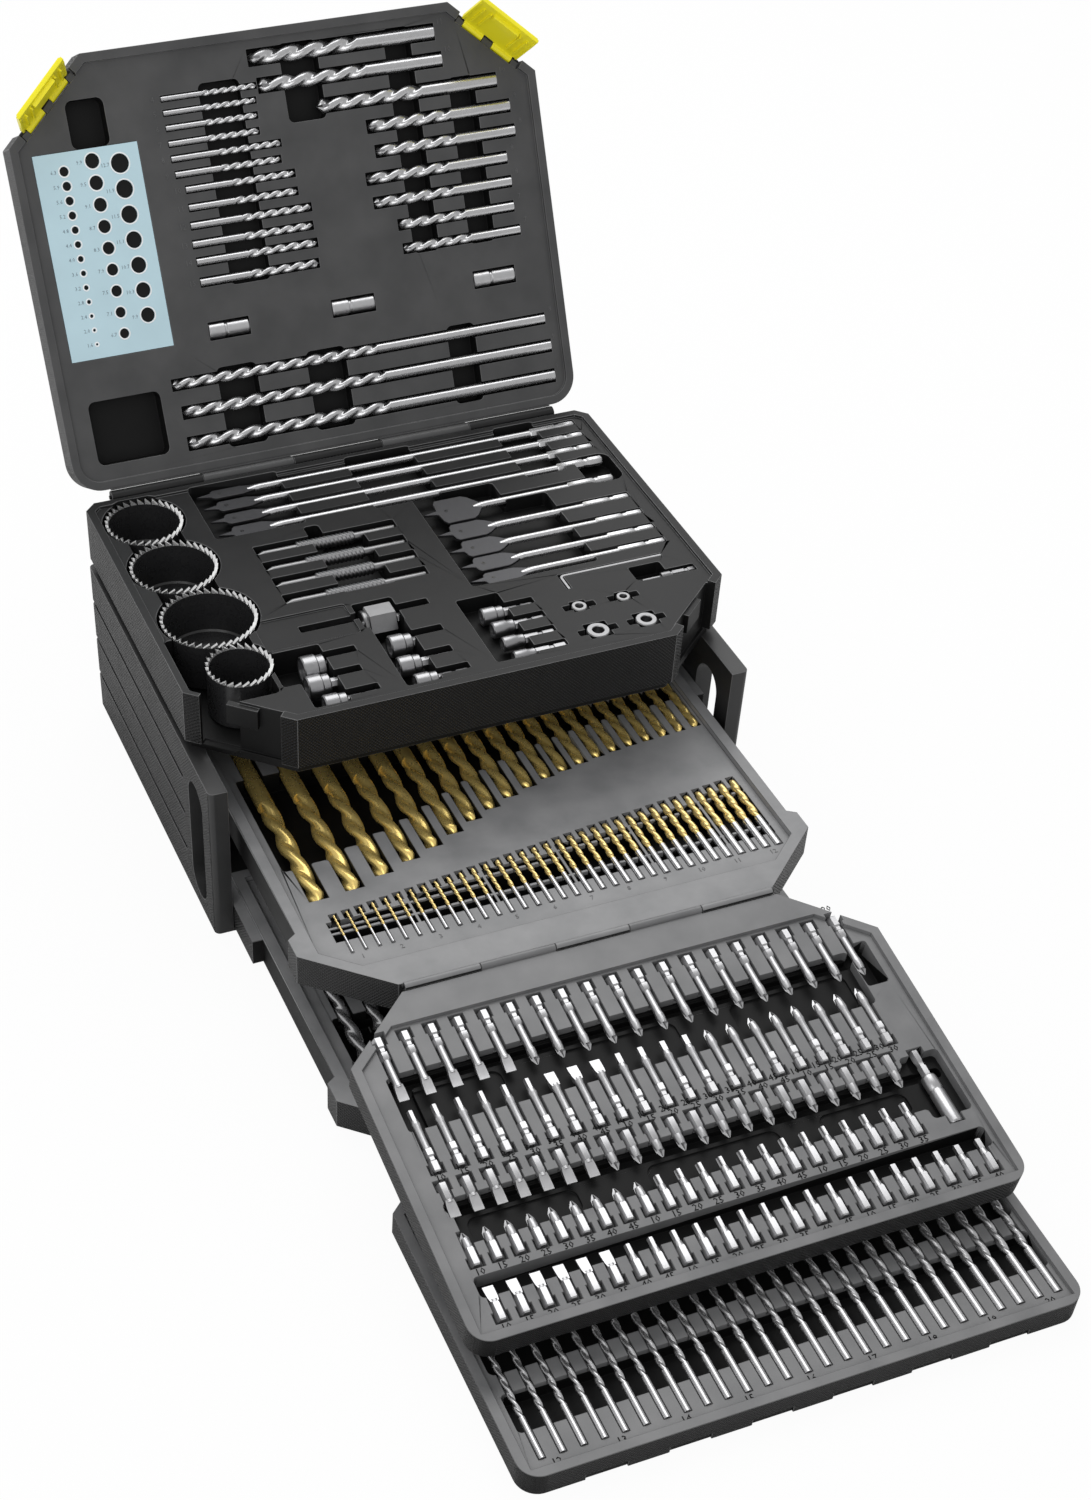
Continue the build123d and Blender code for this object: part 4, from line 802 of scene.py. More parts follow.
lid_lit_plastic = moulded_plastic("lid plastic painted lit", lid_lit_tone, roughness=0.42)
lid_knurl = moulded_plastic("lid knurl", lid_lit_tone, up=tuple(lid_up), roughness=0.45)
moulding("lid_shell", "lid_moulding", "lid", lid_lit_plastic, lid_knurl, on_lid_edge, lid_up,
         (lid_place @ Vector((0, 0, (lid_deck + 2.0) * mm))).dot(lid_up))
work = bmesh.new()
lip_place = lid_place @ Matrix.Translation(Vector((0, 5.1, -1.7)) * mm)
add_skin(work, lip_place @ along_right, [(-lip_half, 0.45, 1.5), (lip_half, 0.45, 1.5)], square)
dress("lid_hinge_lip", finish_mesh(work, "lid hinge lip"), "lid", "black_plastic", lid_lit_plastic)

# ------------------------------------------------------------------ gauge plate
# Light blue drill gauge, a thin moulded plate pressed into the lid: rows of sized holes with a
# white printed ring round each and plain size numbers beside them.
plate_x = (-180.0, -105.5)
plate_y = (94.5, 231.5)
plate_columns = [(0.805, 0.09, 0.83, [12.7, 11.9, 11.5, 11.1, 10.7, 10.3, 9.9]),
                 (0.55, 0.06, 0.90, [9.9, 9.5, 9.1, 8.7, 8.3, 7.9, 7.5, 7.1, 6.7]),
                 (0.27, 0.09, 0.93, [6.35, 5.9, 5.6, 5.2, 4.8, 4.4, 4.0, 3.6, 3.2, 2.8, 2.4, 2.0, 1.6])]


def marks(name, words, body, place, material, size=3.0, rise=0.12):
    """Raised size numbers: each word has its middle (x, y, z) and turn in one flat frame, in mm."""
    work = bmesh.new()
    for word, x, y, z, turn_degrees in words:
        letters = bpy.data.curves.new("letters", "FONT")
        letters.body = word
        letters.size = size
        letters.resolution_u = 1
        letters.extrude = rise
        letters.align_x = "CENTER"
        letters.align_y = "CENTER"
        holder = bpy.data.objects.new("letters", letters)
        mesh = bpy.data.meshes.new_from_object(holder)
        spot = Matrix.Translation((x, y, z)) @ Matrix.Rotation(math.radians(turn_degrees), 4, "Z")
        mesh.transform(place @ Matrix.Scale(mm, 4) @ spot)
        work.from_mesh(mesh)
        bpy.data.objects.remove(holder)
    mesh = bpy.data.meshes.new(name)
    work.to_mesh(mesh)
    work.free()
    return dress(name, mesh, body, "black_plastic", material)


def painted(name, tone, roughness):
    """Even plastic or print with a little unevenness in tone and shine."""
    material = moulded_plastic(name, 0.5, roughness=roughness)
    for node in material.node_tree.nodes:
        if node.bl_idname == "ShaderNodeValToRGB":
            node.color_ramp.elements[0].color = (*[part * 0.94 for part in tone], 1)
            node.color_ramp.elements[1].color = (*tone, 1)
    return material


def add_ring(work, place, stations):
    """Ring turned round the Y axis of its place, from stations of distance and radius."""
    section = round_section(28)
    rings = [[work.verts.new(place @ Vector((x * wide * mm, along * mm, z * wide * mm))) for x, z in section]
             for along, wide in stations]
    for low, high in zip(rings, rings[1:] + rings[:1]):
        for i in range(len(section)):
            j = (i + 1) % len(section)
            work.faces.new((low[j], low[i], high[i], high[j]))


gauge_blue = painted("gauge blue", (0.56, 0.76, 0.84), 0.4)
ring_white = painted("ring white", (0.95, 0.97, 0.98), 0.45)
plate = frame["nodes"]["gauge_plate"]
plate.data.materials.clear()
plate.data.materials.append(gauge_blue)
work = bmesh.new()
plate_words = []
plate_width = plate_x[1] - plate_x[0]
plate_length = plate_y[1] - plate_y[0]
for share, first, last, diameters in plate_columns:
    x = plate_x[0] + share * plate_width
    for index, diameter in enumerate(diameters):
        down = first + (last - first) * index / (len(diameters) - 1)
        y = plate_y[0] + (1 - down) * plate_length
        flat = lid_place @ Matrix.Translation(Vector((x, y, lid_deck)) * mm) @ upright
        hole = diameter / 2
        add_ring(work, flat, [(-0.05, hole + 0.05), (0.12, hole + 0.1), (0.12, hole + 0.9), (-0.05, hole + 1.0)])
        plate_words.append((str(round(diameter, 1)), x - hole - 4.4, y, lid_deck, 0))
rings = dress("gauge_rings", finish_mesh(work, "gauge rings"), "lid", "blue_plastic", ring_white)
ink = painted("grey print", (0.16, 0.22, 0.27), 0.5)
marks("gauge_numbers", plate_words, "lid", lid_place, ink, size=3.6, rise=0.06)

# ------------------------------------------------------------------ masonry bits and drill sleeves
# Bright steel masonry bits with wide flutes and a brazed carbide tip, and three ground steel
# sleeves, pressed into the lid. The small bits point right, the others point left.
small_masonry = [(-83.5, -14.0, 255.7, 4.0), (-83.5, -15.8, 246.4, 4.2), (-83.5, -16.3, 236.6, 4.4),
                 (-83.5, -17.0, 226.3, 4.6), (-83.5, -2.7, 216.4, 4.8), (-82.5, -4.6, 205.9, 5.0),
                 (-77.0, 4.0, 195.3, 5.2), (-77.0, 4.0, 183.2, 5.4), (-78.0, 12.1, 171.2, 5.6),
                 (-79.0, 11.2, 158.8, 5.8), (-78.2, 12.4, 146.9, 6.0), (-78.1, 11.1, 133.0, 6.4)]
medium_masonry = [(-17.0, 122.6, 273.6, 11.0), (-12.8, 125.8, 255.1, 10.0), (28.4, 165.2, 236.2, 10.0),
                  (62.3, 172.9, 217.8, 9.0), (66.0, 174.4, 200.7, 8.5), (56.0, 165.4, 183.2, 8.5),
                  (58.9, 166.5, 166.5, 8.0), (74.9, 165.8, 149.3, 7.5), (76.2, 168.3, 132.6, 7.0)]
long_masonry = [(-112.0, 178.6, 67.5, 8.0), (-108.0, 181.0, 47.5, 9.0), (-108.0, 181.0, 25.7, 9.5)]
sleeve_places = [(-78.0, -47.9, 99.3, 12.0), (15.5, 48.3, 100.0, 12.0), (127.0, 159.6, 102.7, 12.0)]
lid_proud = 1.5


def lid_bit_place(x, y, diameter, heading):
    """Place of a bit's shank end in the lid, the bit pointing along the heading."""
    spot = Vector((x, y, lid_deck + lid_proud - diameter / 2)) * mm
    return lid_place @ Matrix.Translation(spot) @ heading


def add_carbide(work, place, length, diameter):
    """Carbide plate brazed across a masonry bit's point."""
    half = diameter * 0.56
    chisel = [(-0.16, -1), (0.16, -1), (0.16, 1), (-0.16, 1)]
    add_skin(work, place, [(length - diameter * 0.75, diameter * 0.5, half), (length - diameter * 0.28,
             diameter * 0.5, half), (length + 0.1, diameter * 0.3, diameter * 0.06)], chisel)


carbide = steel("carbide", (0.30, 0.30, 0.31), 0.4)
for name, node, rows, points_right, share in (
        ("masonry_small", "small_masonry_bits", small_masonry, True, 0.42),
        ("masonry_medium", "medium_masonry_bits", medium_masonry, False, 0.42),
        ("masonry_long", "long_masonry_bits", long_masonry, False, 0.46)):
    bits = []
    tips = bmesh.new()
    for x0, x1, y, diameter in rows:
        if points_right:
            spot = lid_bit_place(x0, y, diameter, along_right)
        else:
            spot = lid_bit_place(x1, y, diameter, along_left)
        bits.append((spot, x1 - x0, diameter))
        add_carbide(tips, spot, x1 - x0, diameter)
    mesh = drills(name, bits, bright_steel, shank_share=share, pitch=3.4, flute_depth=0.52, shank_scale=0.86)
    piece = dress(name, mesh, "lid", "bright_steel", bright_steel)
    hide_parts(node)
    dress(f"{name}_tips", finish_mesh(tips, f"{name} tips"), "lid", "bright_steel", carbide)
work = bmesh.new()
for x0, x1, y, diameter in sleeve_places:
    spot = lid_bit_place(x0, y, diameter, along_right)
    length = x1 - x0
    radius = diameter / 2
    add_skin(work, spot, [(8, radius * 0.5), (0.4, radius * 0.5), (0, radius * 0.62), (0, radius - 0.5),
                          (0.5, radius), (length * 0.38, radius), (length * 0.4, radius * 0.84),
                          (length * 0.44, radius * 0.84), (length * 0.46, radius * 0.93),
                          (length - 0.8, radius * 0.93), (length, radius * 0.8)], round_section(32))
sleeve_steel = steel("ground sleeve steel", (0.62, 0.62, 0.63), 0.36)
sleeves = dress("sleeves", finish_mesh(work, "sleeves"), "lid", "bright_steel", sleeve_steel)
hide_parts("drill_sleeves")
lid_words = []
for index, (x0, x1, y, diameter) in enumerate(small_masonry):
    lid_words.append((str(index + 4), x0 - 6.0, y, lid_deck, 0))
for x0, x1, y, diameter in medium_masonry + long_masonry:
    lid_words.append((str(int(diameter)), min(x1 + 5.0, 183.5), y + 6.0, lid_deck, 0))
marks("lid_numbers", lid_words, "lid", lid_place, edge_highlight_and_number_plastic, size=5.4, rise=0.25)

# ------------------------------------------------------------------ latches
# Two yellow moulded latches that hang on steel pins in the lid's cut corners: a stiffened plate
# with a hook that snaps under the catch of the top tray.
latch_tone = (1.0, 0.90, 0.02)
yellow_plastic = painted("latch yellow", latch_tone, 0.3)


for side, sign in (("left", -1), ("right", 1)):
    mesh = softened(merged_copy(f"latch_{side}"), 0.4)
    latch = dress(f"yellow_latch_{side}", mesh, f"latch_{side}", "yellow_plastic", yellow_plastic)
    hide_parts(f"latch_{side}")
    # stiffening ribs inside, a rim along the free edge and a dark grip insert outside
    corner = Matrix.Translation((sign * 165 * mm, 265 * mm, 0)) @ Matrix.Rotation(
        math.radians(-sign * 41.455), 4, "Z")
    swung = Matrix.Translation((0, -3.4 * mm, -9.4 * mm)) @ Matrix.Rotation(math.radians(-20), 4, "X")
    place = lid_place @ corner @ swung
    work = bmesh.new()
    for x in (-19.0, -13.0, 13.0, 19.0):
        spot = place @ Matrix.Translation((x * mm, 0, 18 * mm))
        add_skin(work, spot, [(-1.6, 0.6, 9.5), (0.5, 0.6, 9.5)], square)
    add_skin(work, place @ Matrix.Translation((0, 0, 32 * mm)), [(2.9, 24, 0.9), (3.8, 23.6, 0.6)], square)
    add_skin(work, place @ Matrix.Translation((0, 0, 9 * mm)), [(2.9, 12, 3.2), (3.5, 11.6, 2.8)], square, 1)
    dress(f"latch_ribs_{side}", finish_mesh(work, f"latch ribs {side}"), f"latch_{side}", "yellow_plastic",
          yellow_plastic, body_plastic)

# ------------------------------------------------------------------ upper drawer
# Black moulded drawer on side rails. Gold-coated twist bits lie in it: twenty large ones behind,
# points forward, and thirty-four small ones in front, points back.
drawer_1_place = Matrix.Translation((0, -311.3 * mm, 86.0 * mm))
drawer_half = 181.0
drawer_body_half = 175.0
drawer_cut_x = 51.0
drawer_cut_y = 45.5
# the drawers' black plastic is painted light grey: painted light on their level decks
drawer_lit_tone = 0.22
large_x = [-148.0, -122.5, -99.5, -78.0, -58.7, -40.5, -23.5, -7.1, 9.2, 25.3,
           40.8, 55.0, 69.0, 83.0, 96.3, 109.5, 122.8, 135.8, 148.8, 161.5]
large_tip = [95.0, 97.0, 104.0, 111.0, 118.0, 126.0, 134.0, 141.0, 148.0, 153.0,
             158.0, 161.0, 164.0, 166.5, 168.5, 170.0, 171.0, 172.0, 173.0, 174.0]
large_end = 258.0
small_start = 41.0
bit_proud = 1.5
drawer_deck = -4.0


def spread(first, last, count):
    """Evenly spaced values from first to last."""
    return [first + (last - first) * i / (count - 1) for i in range(count)]


def on_drawer_wall(place):
    """Test for the outer walls of a drawer: its front, its cut corners and its sides."""
    back = place.inverted()

    def test(centre, normal):
        if abs(normal.z) > 0.3:
            return False
        flat = (back @ centre) / mm
        out = max(abs(flat.x) - drawer_half, -flat.y,
                  beyond_cut(flat.x, -flat.y, drawer_half, 0.0, drawer_cut_x, drawer_cut_y))
        return out > -0.6
    return test


def bits_along_y(rows, place, deck, points_back):
    """Places for bits that lie along Y on a deck: x, shank end, length and diameter."""
    heading = Matrix.Identity(4) if points_back else Matrix.Rotation(math.radians(180), 4, "Z")
    return [(place @ Matrix.Translation(Vector((x, y, deck + bit_proud - diameter / 2)) * mm) @ heading,
             length, diameter) for x, y, length, diameter in rows]


drawer_lit_plastic = moulded_plastic("drawer plastic painted lit", drawer_lit_tone, roughness=0.38)
drawer_knurl = moulded_plastic("drawer knurl", 0.02, up=(0, 0, 1), roughness=0.42)
moulding("drawer_1_tray", "upper_drawer", "drawer_1", drawer_lit_plastic, drawer_knurl,
         on_drawer_wall(drawer_1_place), deck=(86.0 + drawer_deck) * mm)
gold = steel("gold coating", (1.0, 0.75, 0.25), 0.28, metallic=0.75, streak=0.02)
large_rows = [(x, large_end, large_end - tip, diameter)
              for x, tip, diameter in zip(large_x, large_tip, spread(13.0, 6.4, 20))]
mesh = drills("gold bits large", bits_along_y(large_rows, drawer_1_place, drawer_deck, False), gold,
              shank_share=0.36, pitch=4.6, flute_depth=0.5)
large_gold = dress("gold_bits_large", mesh, "drawer_1", "gold_steel", gold)
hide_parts("large_gold_bits")
small_rows = [(x, small_start, length, diameter) for x, length, diameter in
              zip(spread(-145.0, 157.0, 34), spread(36.0, 72.0, 34), spread(1.5, 5.6, 34))]
mesh = drills("gold bits small", bits_along_y(small_rows, drawer_1_place, drawer_deck, True), gold,
              shank_share=0.42, pitch=4.6, flute_depth=0.45)
into_drawer = drawer_1_place.inverted()
for face in mesh.polygons:
    spot = into_drawer @ face.center / mm
    length = min(small_rows, key=lambda row: abs(row[0] - spot.x))[2]
    face.material_index = int(spot.y < small_start + 0.42 * length)
worn_gold = steel("worn gold coating", (0.95, 0.73, 0.30), 0.28, metallic=0.75, streak=0.02)
small_gold = dress("gold_bits_small", mesh, "drawer_1", "gold_steel", worn_gold, bright_steel)
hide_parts("small_gold_bits")
words = [(str(int(size)), x, small_start - 5.5, drawer_deck, 0) for x, size in
         zip(spread(-140.0, 150.0, 12), spread(1, 12, 12))]
marks("upper_drawer_numbers", words, "drawer_1", drawer_1_place, edge_highlight_and_number_plastic, size=5.4, rise=0.25)

# ------------------------------------------------------------------ lower drawer
# Same drawer again, pulled further out below the first. It is taken to hold long twist bits.
drawer_2_place = Matrix.Translation((0, -382.7 * mm, 25.5 * mm))
hidden_tip = 60.0
hidden_length = 140.0
moulding("drawer_2_tray", "lower_drawer", "drawer_2", drawer_lit_plastic, drawer_knurl,
         on_drawer_wall(drawer_2_place), deck=(25.5 + drawer_deck) * mm)
hidden_rows = [(x, hidden_tip + hidden_length, hidden_length, 10.0) for x in spread(-148.0, 148.0, 16)]
mesh = drills("long twist bits", bits_along_y(hidden_rows, drawer_2_place, drawer_deck, False), bright_steel)
long_bits = dress("twist_bits_long", mesh, "drawer_2", "bright_steel", bright_steel)
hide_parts("long_twist_bits")

# ------------------------------------------------------------------ upper folding tray
# Black moulded tray hinged to the upper drawer's front, with five rows of chromed driver bits and
# a bit holder. Plain raised size numbers stand beside the rows.
tray_1_place = Matrix.Translation((0, -314.3 * mm, 86.3 * mm)) @ Matrix.Rotation(math.radians(8.7), 4, "X")
tray_half = 181.0
tray_far = 249.0
tray_corner = 14.0
tray_deck = -2.8
# the folding trays' black plastic is painted light grey: painted light on their level decks
tray_lit_tone = 0.16
recess_floor = -5.5
driver_flats = 6.35
driver_rows = [("power_bits_row_1", 30.0, 78.0, -157.0, 157.0, 19, True),
               ("power_bits_row_2", 86.0, 132.5, -157.0, 146.0, 21, False),
               ("insert_bits_row_3", 140.0, 164.0, -158.0, 138.0, 21, True),
               ("insert_bits_row_4", 175.0, 199.0, -159.0, 131.5, 22, False),
               ("insert_bits_row_5", 213.0, 237.0, -158.5, 163.0, 23, False)]
holder_place = (158.0, 141.0, 57.0, 10.0)


def on_folding_wall(place, up):
    """Test for the outer walls of a folding tray."""
    back = place.inverted()

    def test(centre, normal):
        if abs(normal.dot(up)) > 0.3:
            return False
        flat = (back @ centre) / mm
        if flat.z > -2.0:
            return False
        out = max(abs(flat.x) - tray_half, -flat.y - tray_far,
                  beyond_cut(flat.x, flat.y, tray_half, -3.0, drawer_cut_x, drawer_cut_y))
        corner = math.hypot(max(abs(flat.x) - tray_half + tray_corner, 0),
                            max(-flat.y - tray_far + tray_corner, 0)) - tray_corner
        return max(out, corner) > -0.8
    return test


def tray_floor(place, up):
    """Height of a folding tray's shallow recesses, under which its pockets get painted shade."""
    return (place @ Vector((0, 0, recess_floor * mm))).dot(up)


def add_driver(work, place, length, kind):
    """One driver bit from its flat end at Y 0 to its tip."""
    radius = driver_flats / math.sqrt(3)
    power = length > 30
    if power:
        head = [(0, radius - 0.7), (0.8, radius), (7.5, radius), (8.6, radius - 0.9), (11.0, radius - 0.9),
                (12.1, radius), (16.5, radius), (18.0, 2.5)]
        add_skin(work, place, head, hexagon)
        neck = length - 11.0
        add_skin(work, place, [(17, 2.5), (neck - 3, 2.5), (neck, 3.0), (neck + 0.5, 3.0)], disc)
    else:
        neck = 13.0
        head = [(0, radius - 0.7), (0.8, radius), (neck - 1.5, radius), (neck, 2.9)]
        add_skin(work, place, head, hexagon)
    if kind == "cross":
        add_skin(work, place, [(neck - 0.5, 2.9), (neck + 2.5, 2.9), (length - 4.5, 2.4)], disc)
        add_skin(work, place, [(neck + 1, 2.9), (length - 4, 2.7), (length - 0.6, 0.9), (length, 0.5)],
                 star_section(4, 0.42))
    elif kind == "slot":
        add_skin(work, place, [(neck - 0.5, 2.9), (neck + 1.5, 2.8)], disc)
        add_skin(work, place, [(neck, 2.6, 2.4), (neck + 3, 3.1, 1.7), (length - 3, 3.3, 0.8), (length, 3.3, 0.45)],
                 [(-1, -1), (1, -1), (1, 1), (-1, 1)])
    elif kind == "star":
        add_skin(work, place, [(neck - 0.5, 2.9), (neck + 4, 2.3)], disc)
        add_skin(work, place, [(neck + 2, 2.3), (length - 0.6, 2.3), (length, 1.9)], star_section(6, 0.72))
    elif kind == "square":
        add_skin(work, place, [(neck - 0.5, 2.9), (neck + 3.5, 2.3)], disc)
        add_skin(work, place, [(neck + 2, 2.3), (length - 0.5, 2.3), (length, 1.9)], round_section(4, math.pi / 4))
    else:
        add_skin(work, place, [(neck - 0.5, 2.9), (neck + 3, 2.4)], disc)
        add_skin(work, place, [(neck + 2, 2.2), (length - 0.5, 2.2), (length, 1.8)], hexagon)


def row_tree():
    """Geometry tree that sets one bit of a group of kinds on each point, picked by the point's kind."""
    tree = bpy.data.node_groups.new("driver row", "GeometryNodeTree")
    entry, result = sockets_of(tree, [("Kinds", "NodeSocketCollection"), ("Material", "NodeSocketMaterial")])
    kinds = tree.nodes.new("GeometryNodeCollectionInfo")
    kinds.inputs["Separate Children"].default_value = True
    link(tree, entry, "Kinds", kinds, "Collection")
    pick = tree.nodes.new("GeometryNodeInputNamedAttribute")
    pick.data_type = "INT"
    pick.inputs["Name"].default_value = "kind"
    sets = tree.nodes.new("GeometryNodeInstanceOnPoints")
    sets.inputs["Pick Instance"].default_value = True
    link(tree, entry, "Geometry", sets, "Points")
    link(tree, kinds, "Instances", sets, "Instance")
    link(tree, pick, "Attribute", sets, "Instance Index")
    real = tree.nodes.new("GeometryNodeRealizeInstances")
    link(tree, sets, "Instances", real, "Geometry")
    paint = tree.nodes.new("GeometryNodeSetMaterial")
    link(tree, real, "Geometry", paint, "Geometry")
    link(tree, entry, "Material", paint, "Material")
    link(tree, paint, "Geometry", result, "Geometry")
    return tree


def kinds_of(length, tip_away):
    """Collection with one bit of each kind, laid along Y as the row lies."""
    group = bpy.data.collections.new("driver kinds")
    bpy.context.scene.collection.children.link(group)
    heading = Matrix.Rotation(math.radians(180), 4, "Z") if tip_away else Matrix.Identity(4)
    for index, kind in enumerate(driver_kinds):
        work = bmesh.new()
        add_driver(work, heading, length, kind)
        sample = bpy.data.objects.new(f"kind_{index}", finish_mesh(work, kind))
        group.objects.link(sample)
    return group


tray_lit_plastic = moulded_plastic("tray plastic painted lit", tray_lit_tone, roughness=0.36)
tray_up = tray_1_place.to_3x3() @ Vector((0, 0, 1))
tray_knurl = moulded_plastic("tray knurl", 0.012, up=tuple(tray_up), roughness=0.42, gloss=0.3)
moulding("tray_1", "upper_folding_tray", "tray_1", tray_lit_plastic, tray_knurl,
         on_folding_wall(tray_1_place, tray_up), tray_up, tray_floor(tray_1_place, tray_up))
chrome = steel("driver chrome", (0.52, 0.52, 0.53), 0.33, metallic=0.9)
driver_kinds = ("cross", "slot", "star", "hex", "square")
rows_tree = row_tree()
tray_words = []
number_plastic = moulded_plastic("number plastic", 0.004, roughness=0.6, gloss=0.1)
plans = {"power_bits_row_1": [1] * 5 + [0] * 14, "power_bits_row_2": [3] * 6 + [1] * 3 + [4] * 4 + [0] * 8,
         "insert_bits_row_3": [1] * 7 + [0] * 14, "insert_bits_row_4": [0] * 9 + [2] * 13,
         "insert_bits_row_5": [1] * 6 + [3] * 12 + [4] * 5}
for name, near, far, first, last, count, tip_away in driver_rows:
    length = far - near
    start = -near if tip_away else -far
    group = kinds_of(length, tip_away)
    points = bpy.data.meshes.new("row")
    row_x = spread(first, last, count)
    points.from_pydata([Vector((x, start, tray_deck + bit_proud - driver_flats / 2)) * mm for x in row_x], [], [])
    kind = points.attributes.new("kind", "INT", "POINT")
    for index, value in enumerate(plans[name]):
        kind.data[index].value = value
    mesh = grown(rows_tree, points, [{"Kinds": group, "Material": chrome}])[0]
    mesh.transform(tray_1_place)
    smooth_by_angle(mesh, 35)
    row = dress(f"{name}_drivers", mesh, "tray_1", "bright_steel", chrome)
    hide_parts(name)
    for sample in list(group.objects):
        bpy.data.objects.remove(sample)
    bpy.data.collections.remove(group)
    for index, x in enumerate(row_x):
        word = str(10 + (index * 5) % 40)
        mark_y = -near + 7.0 if tip_away else -far - 4.5
        tray_words.append((word, x, mark_y, tray_deck, 0))
marks("upper_tray_numbers", tray_words, "tray_1", tray_1_place, number_plastic, size=6.5, rise=0.2)
work = bmesh.new()
holder_x, holder_near, holder_length, holder_diameter = holder_place
spot = tray_1_place @ Matrix.Translation(Vector((holder_x, -holder_near, tray_deck + bit_proud
                                                 - holder_diameter / 2)) * mm)
place = spot @ Matrix.Rotation(math.radians(180), 4, "Z")
radius = holder_diameter / 2
add_skin(work, place, [(0, 2.6), (0.8, 3.3), (8, 3.3), (9, 2.7), (12, 2.7), (13, 3.3), (20, 3.3)], hexagon)
add_skin(work, place, [(19.5, radius - 1.4), (20.5, radius - 0.4), (22, radius), (30, radius), (30.6, radius - 0.4),
                       (32.0, radius - 0.4), (32.6, radius), (holder_length - 1, radius),
                       (holder_length, radius - 0.8), (holder_length, radius * 0.65),
                       (holder_length - 9, radius * 0.62)], round_section(28))
holder = dress("holder", finish_mesh(work, "holder"), "tray_1", "bright_steel", chrome)
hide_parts("bit_holder")

# ------------------------------------------------------------------ lower folding tray
# Same tray again, hinged to the lower drawer: one row of bright twist bits, points toward the
# hinge, with size numbers on the band below them.
tray_2_tilt = math.asin((25.8 - 18.3) / tray_far)
tray_2_place = Matrix.Translation((0, -385.7 * mm, 25.8 * mm)) @ Matrix.Rotation(tray_2_tilt, 4, "X")
row_far = 236.5
tray_2_up = tray_2_place.to_3x3() @ Vector((0, 0, 1))
tray_2_knurl = moulded_plastic("lower tray knurl", 0.012, up=tuple(tray_2_up), roughness=0.42, gloss=0.3)
moulding("tray_2", "lower_folding_tray", "tray_2", tray_lit_plastic, tray_2_knurl,
         on_folding_wall(tray_2_place, tray_2_up), tray_2_up, tray_floor(tray_2_place, tray_2_up))
twist_rows = [(x, -row_far, length, diameter) for x, length, diameter in
              zip(spread(-165.0, 168.0, 27), spread(80.0, 95.0, 27), spread(4.2, 5.6, 27))]
mesh = drills("twist bits", bits_along_y(twist_rows, tray_2_place, tray_deck, True), bright_steel,
              shank_share=0.36, pitch=4.8)
twist = dress("twist_bits_bright", mesh, "tray_2", "bright_steel", bright_steel)
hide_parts("twist_bits")
words = [(str(12 + index), x, -row_far - 4.5, tray_deck, 0) for index, x in enumerate(spread(-158.0, 160.0, 9))]
marks("lower_tray_numbers", words, "tray_2", tray_2_place, number_plastic, size=6.5, rise=0.2)

# ------------------------------------------------------------------ camera
# The photograph looks down on the open case from the front left, over the spread
# trays, through a long lens.
view_target = Vector((-0.08648, -0.24982, -0.05422))
view_turn, view_down, view_roll = math.radians(23.01), math.radians(45.86), math.radians(1.83)
view_distance = 1.62192
camera_data = bpy.data.cameras.new("camera")
camera_data.sensor_width = 36.0
camera_data.lens = 2375.1 * 36.0 / 1500.0
camera_data.shift_x = (545.5 - 422.44) / 1500.0
camera_data.shift_y = (1057.86 - 750.0) / 1500.0
camera_data.clip_end = 20.0
camera = bpy.data.objects.new("camera", camera_data)
bpy.context.scene.collection.objects.link(camera)
away = Vector((-math.sin(view_turn) * math.cos(view_down), -math.cos(view_turn) * math.cos(view_down),
               math.sin(view_down)))
camera.location = view_target + away * view_distance
facing = away.to_track_quat("Z", "Y").to_matrix()
camera.rotation_euler = (facing @ Matrix.Rotation(view_roll, 3, "Z")).to_euler()
bpy.context.scene.camera = camera

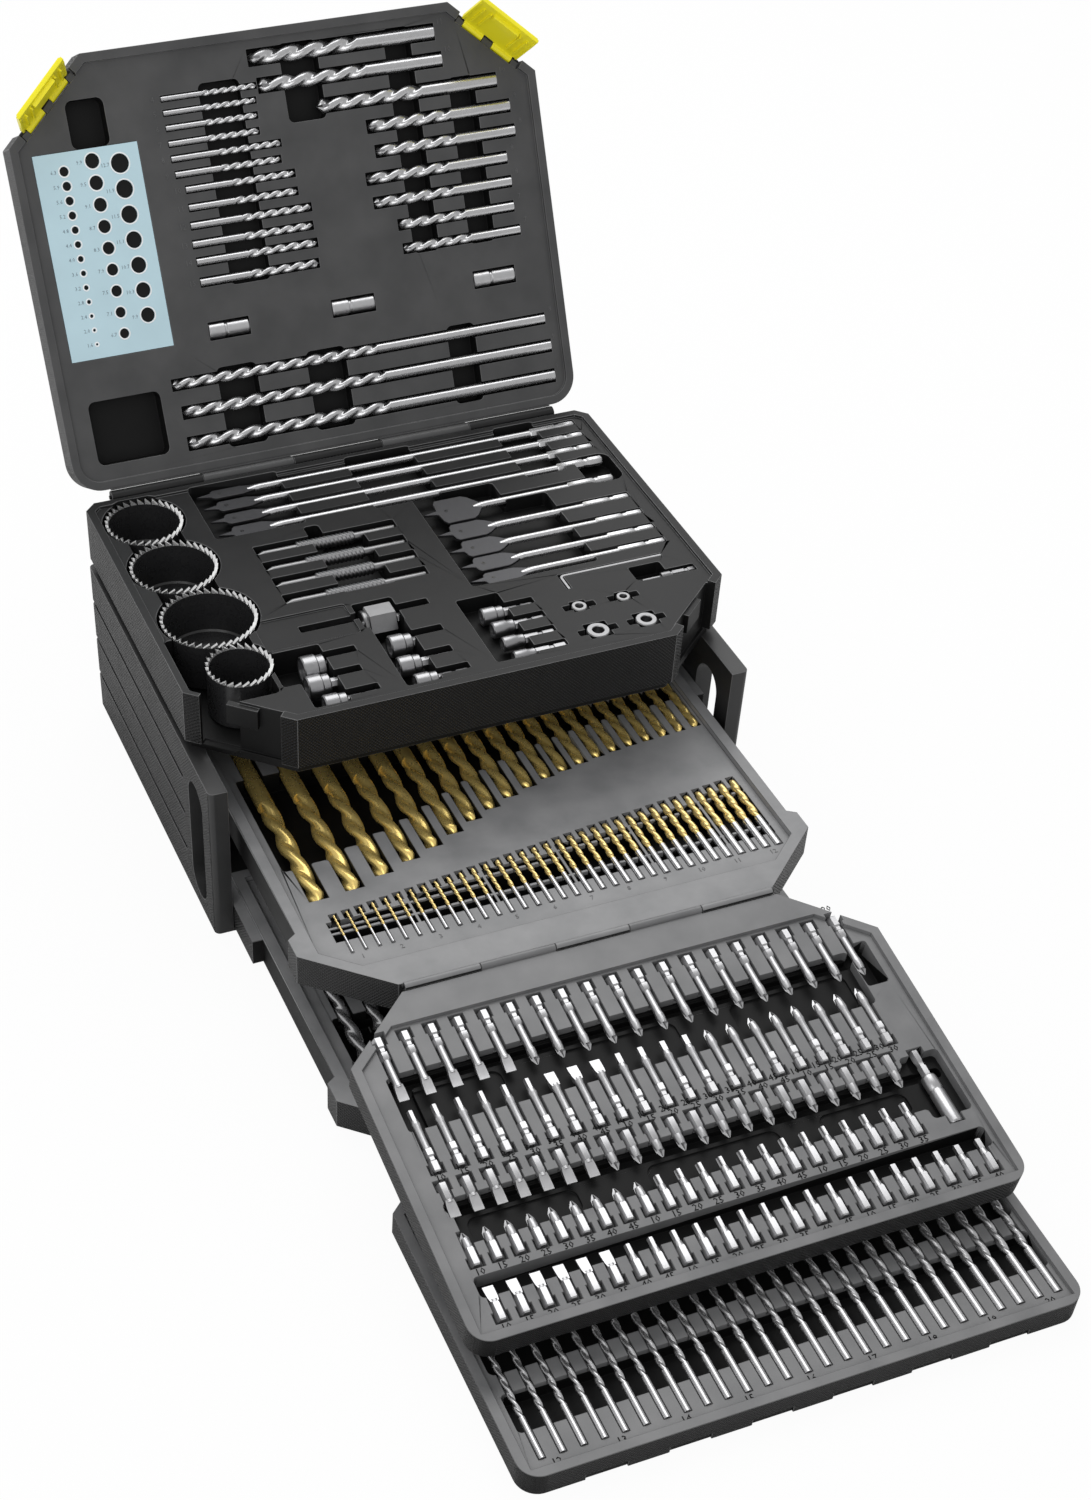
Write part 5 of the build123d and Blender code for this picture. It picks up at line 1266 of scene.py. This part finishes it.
# ------------------------------------------------------------------ floor and light
# White sweep with even studio light: a pale world, one soft panel high behind that the trays'
# level decks catch, and a weaker one from the front left.
panels = [("back panel", (0.25, 1.0, 1.8), (0.0, -0.55, 0.05), 2.1, 30.0),
          ("front panel", (-1.3, -1.6, 1.5), (0.0, -0.1, 0.15), 1.8, 16.0)]
floor_mesh = bpy.data.meshes.new("floor")
floor_mesh.from_pydata([(-6, -6, 0), (6, -6, 0), (6, 6, 0), (-6, 6, 0)], [], [(0, 1, 2, 3)])
floor = bpy.data.objects.new("floor", floor_mesh)
bpy.context.scene.collection.objects.link(floor)
paper = bpy.data.materials.new("white paper")
paper.use_nodes = True
paper_tree = paper.node_tree
matte = paper_tree.nodes["Principled BSDF"]
matte.inputs["Base Color"].default_value = (0.8, 0.8, 0.8, 1)
matte.inputs["Roughness"].default_value = 0.8
glow = paper_tree.nodes.new("ShaderNodeEmission")
ray = paper_tree.nodes.new("ShaderNodeLightPath")
share = math_node(paper_tree, "MULTIPLY", (ray, "Is Camera Ray"), 0.95)
mix = paper_tree.nodes.new("ShaderNodeMixShader")
link(paper_tree, share, "Value", mix, 0)
link(paper_tree, matte, "BSDF", mix, 1)
link(paper_tree, glow, "Emission", mix, 2)
link(paper_tree, mix, "Shader", paper_tree.nodes["Material Output"], "Surface")
floor_mesh.materials.append(paper)
for name, spot, aim, size, power in panels:
    lamp = bpy.data.lights.new(name, "AREA")
    lamp.size = size
    lamp.energy = power
    holder = bpy.data.objects.new(name, lamp)
    bpy.context.scene.collection.objects.link(holder)
    holder.location = spot
    holder.rotation_euler = (Vector(spot) - Vector(aim)).to_track_quat("Z", "Y").to_euler()
world = bpy.data.worlds.new("studio")
bpy.context.scene.world = world
world.use_nodes = True
world_tree = world.node_tree
background = world_tree.nodes["Background"]
ray = world_tree.nodes.new("ShaderNodeLightPath")
seen = math_node(world_tree, "MULTIPLY", (ray, "Is Camera Ray"), 0.45)
level = math_node(world_tree, "ADD", (seen, "Value"), 0.55)
background.inputs["Color"].default_value = (1, 1, 1, 1)
link(world_tree, level, "Value", background, "Strength")
bpy.context.scene.view_settings.view_transform = "Standard"
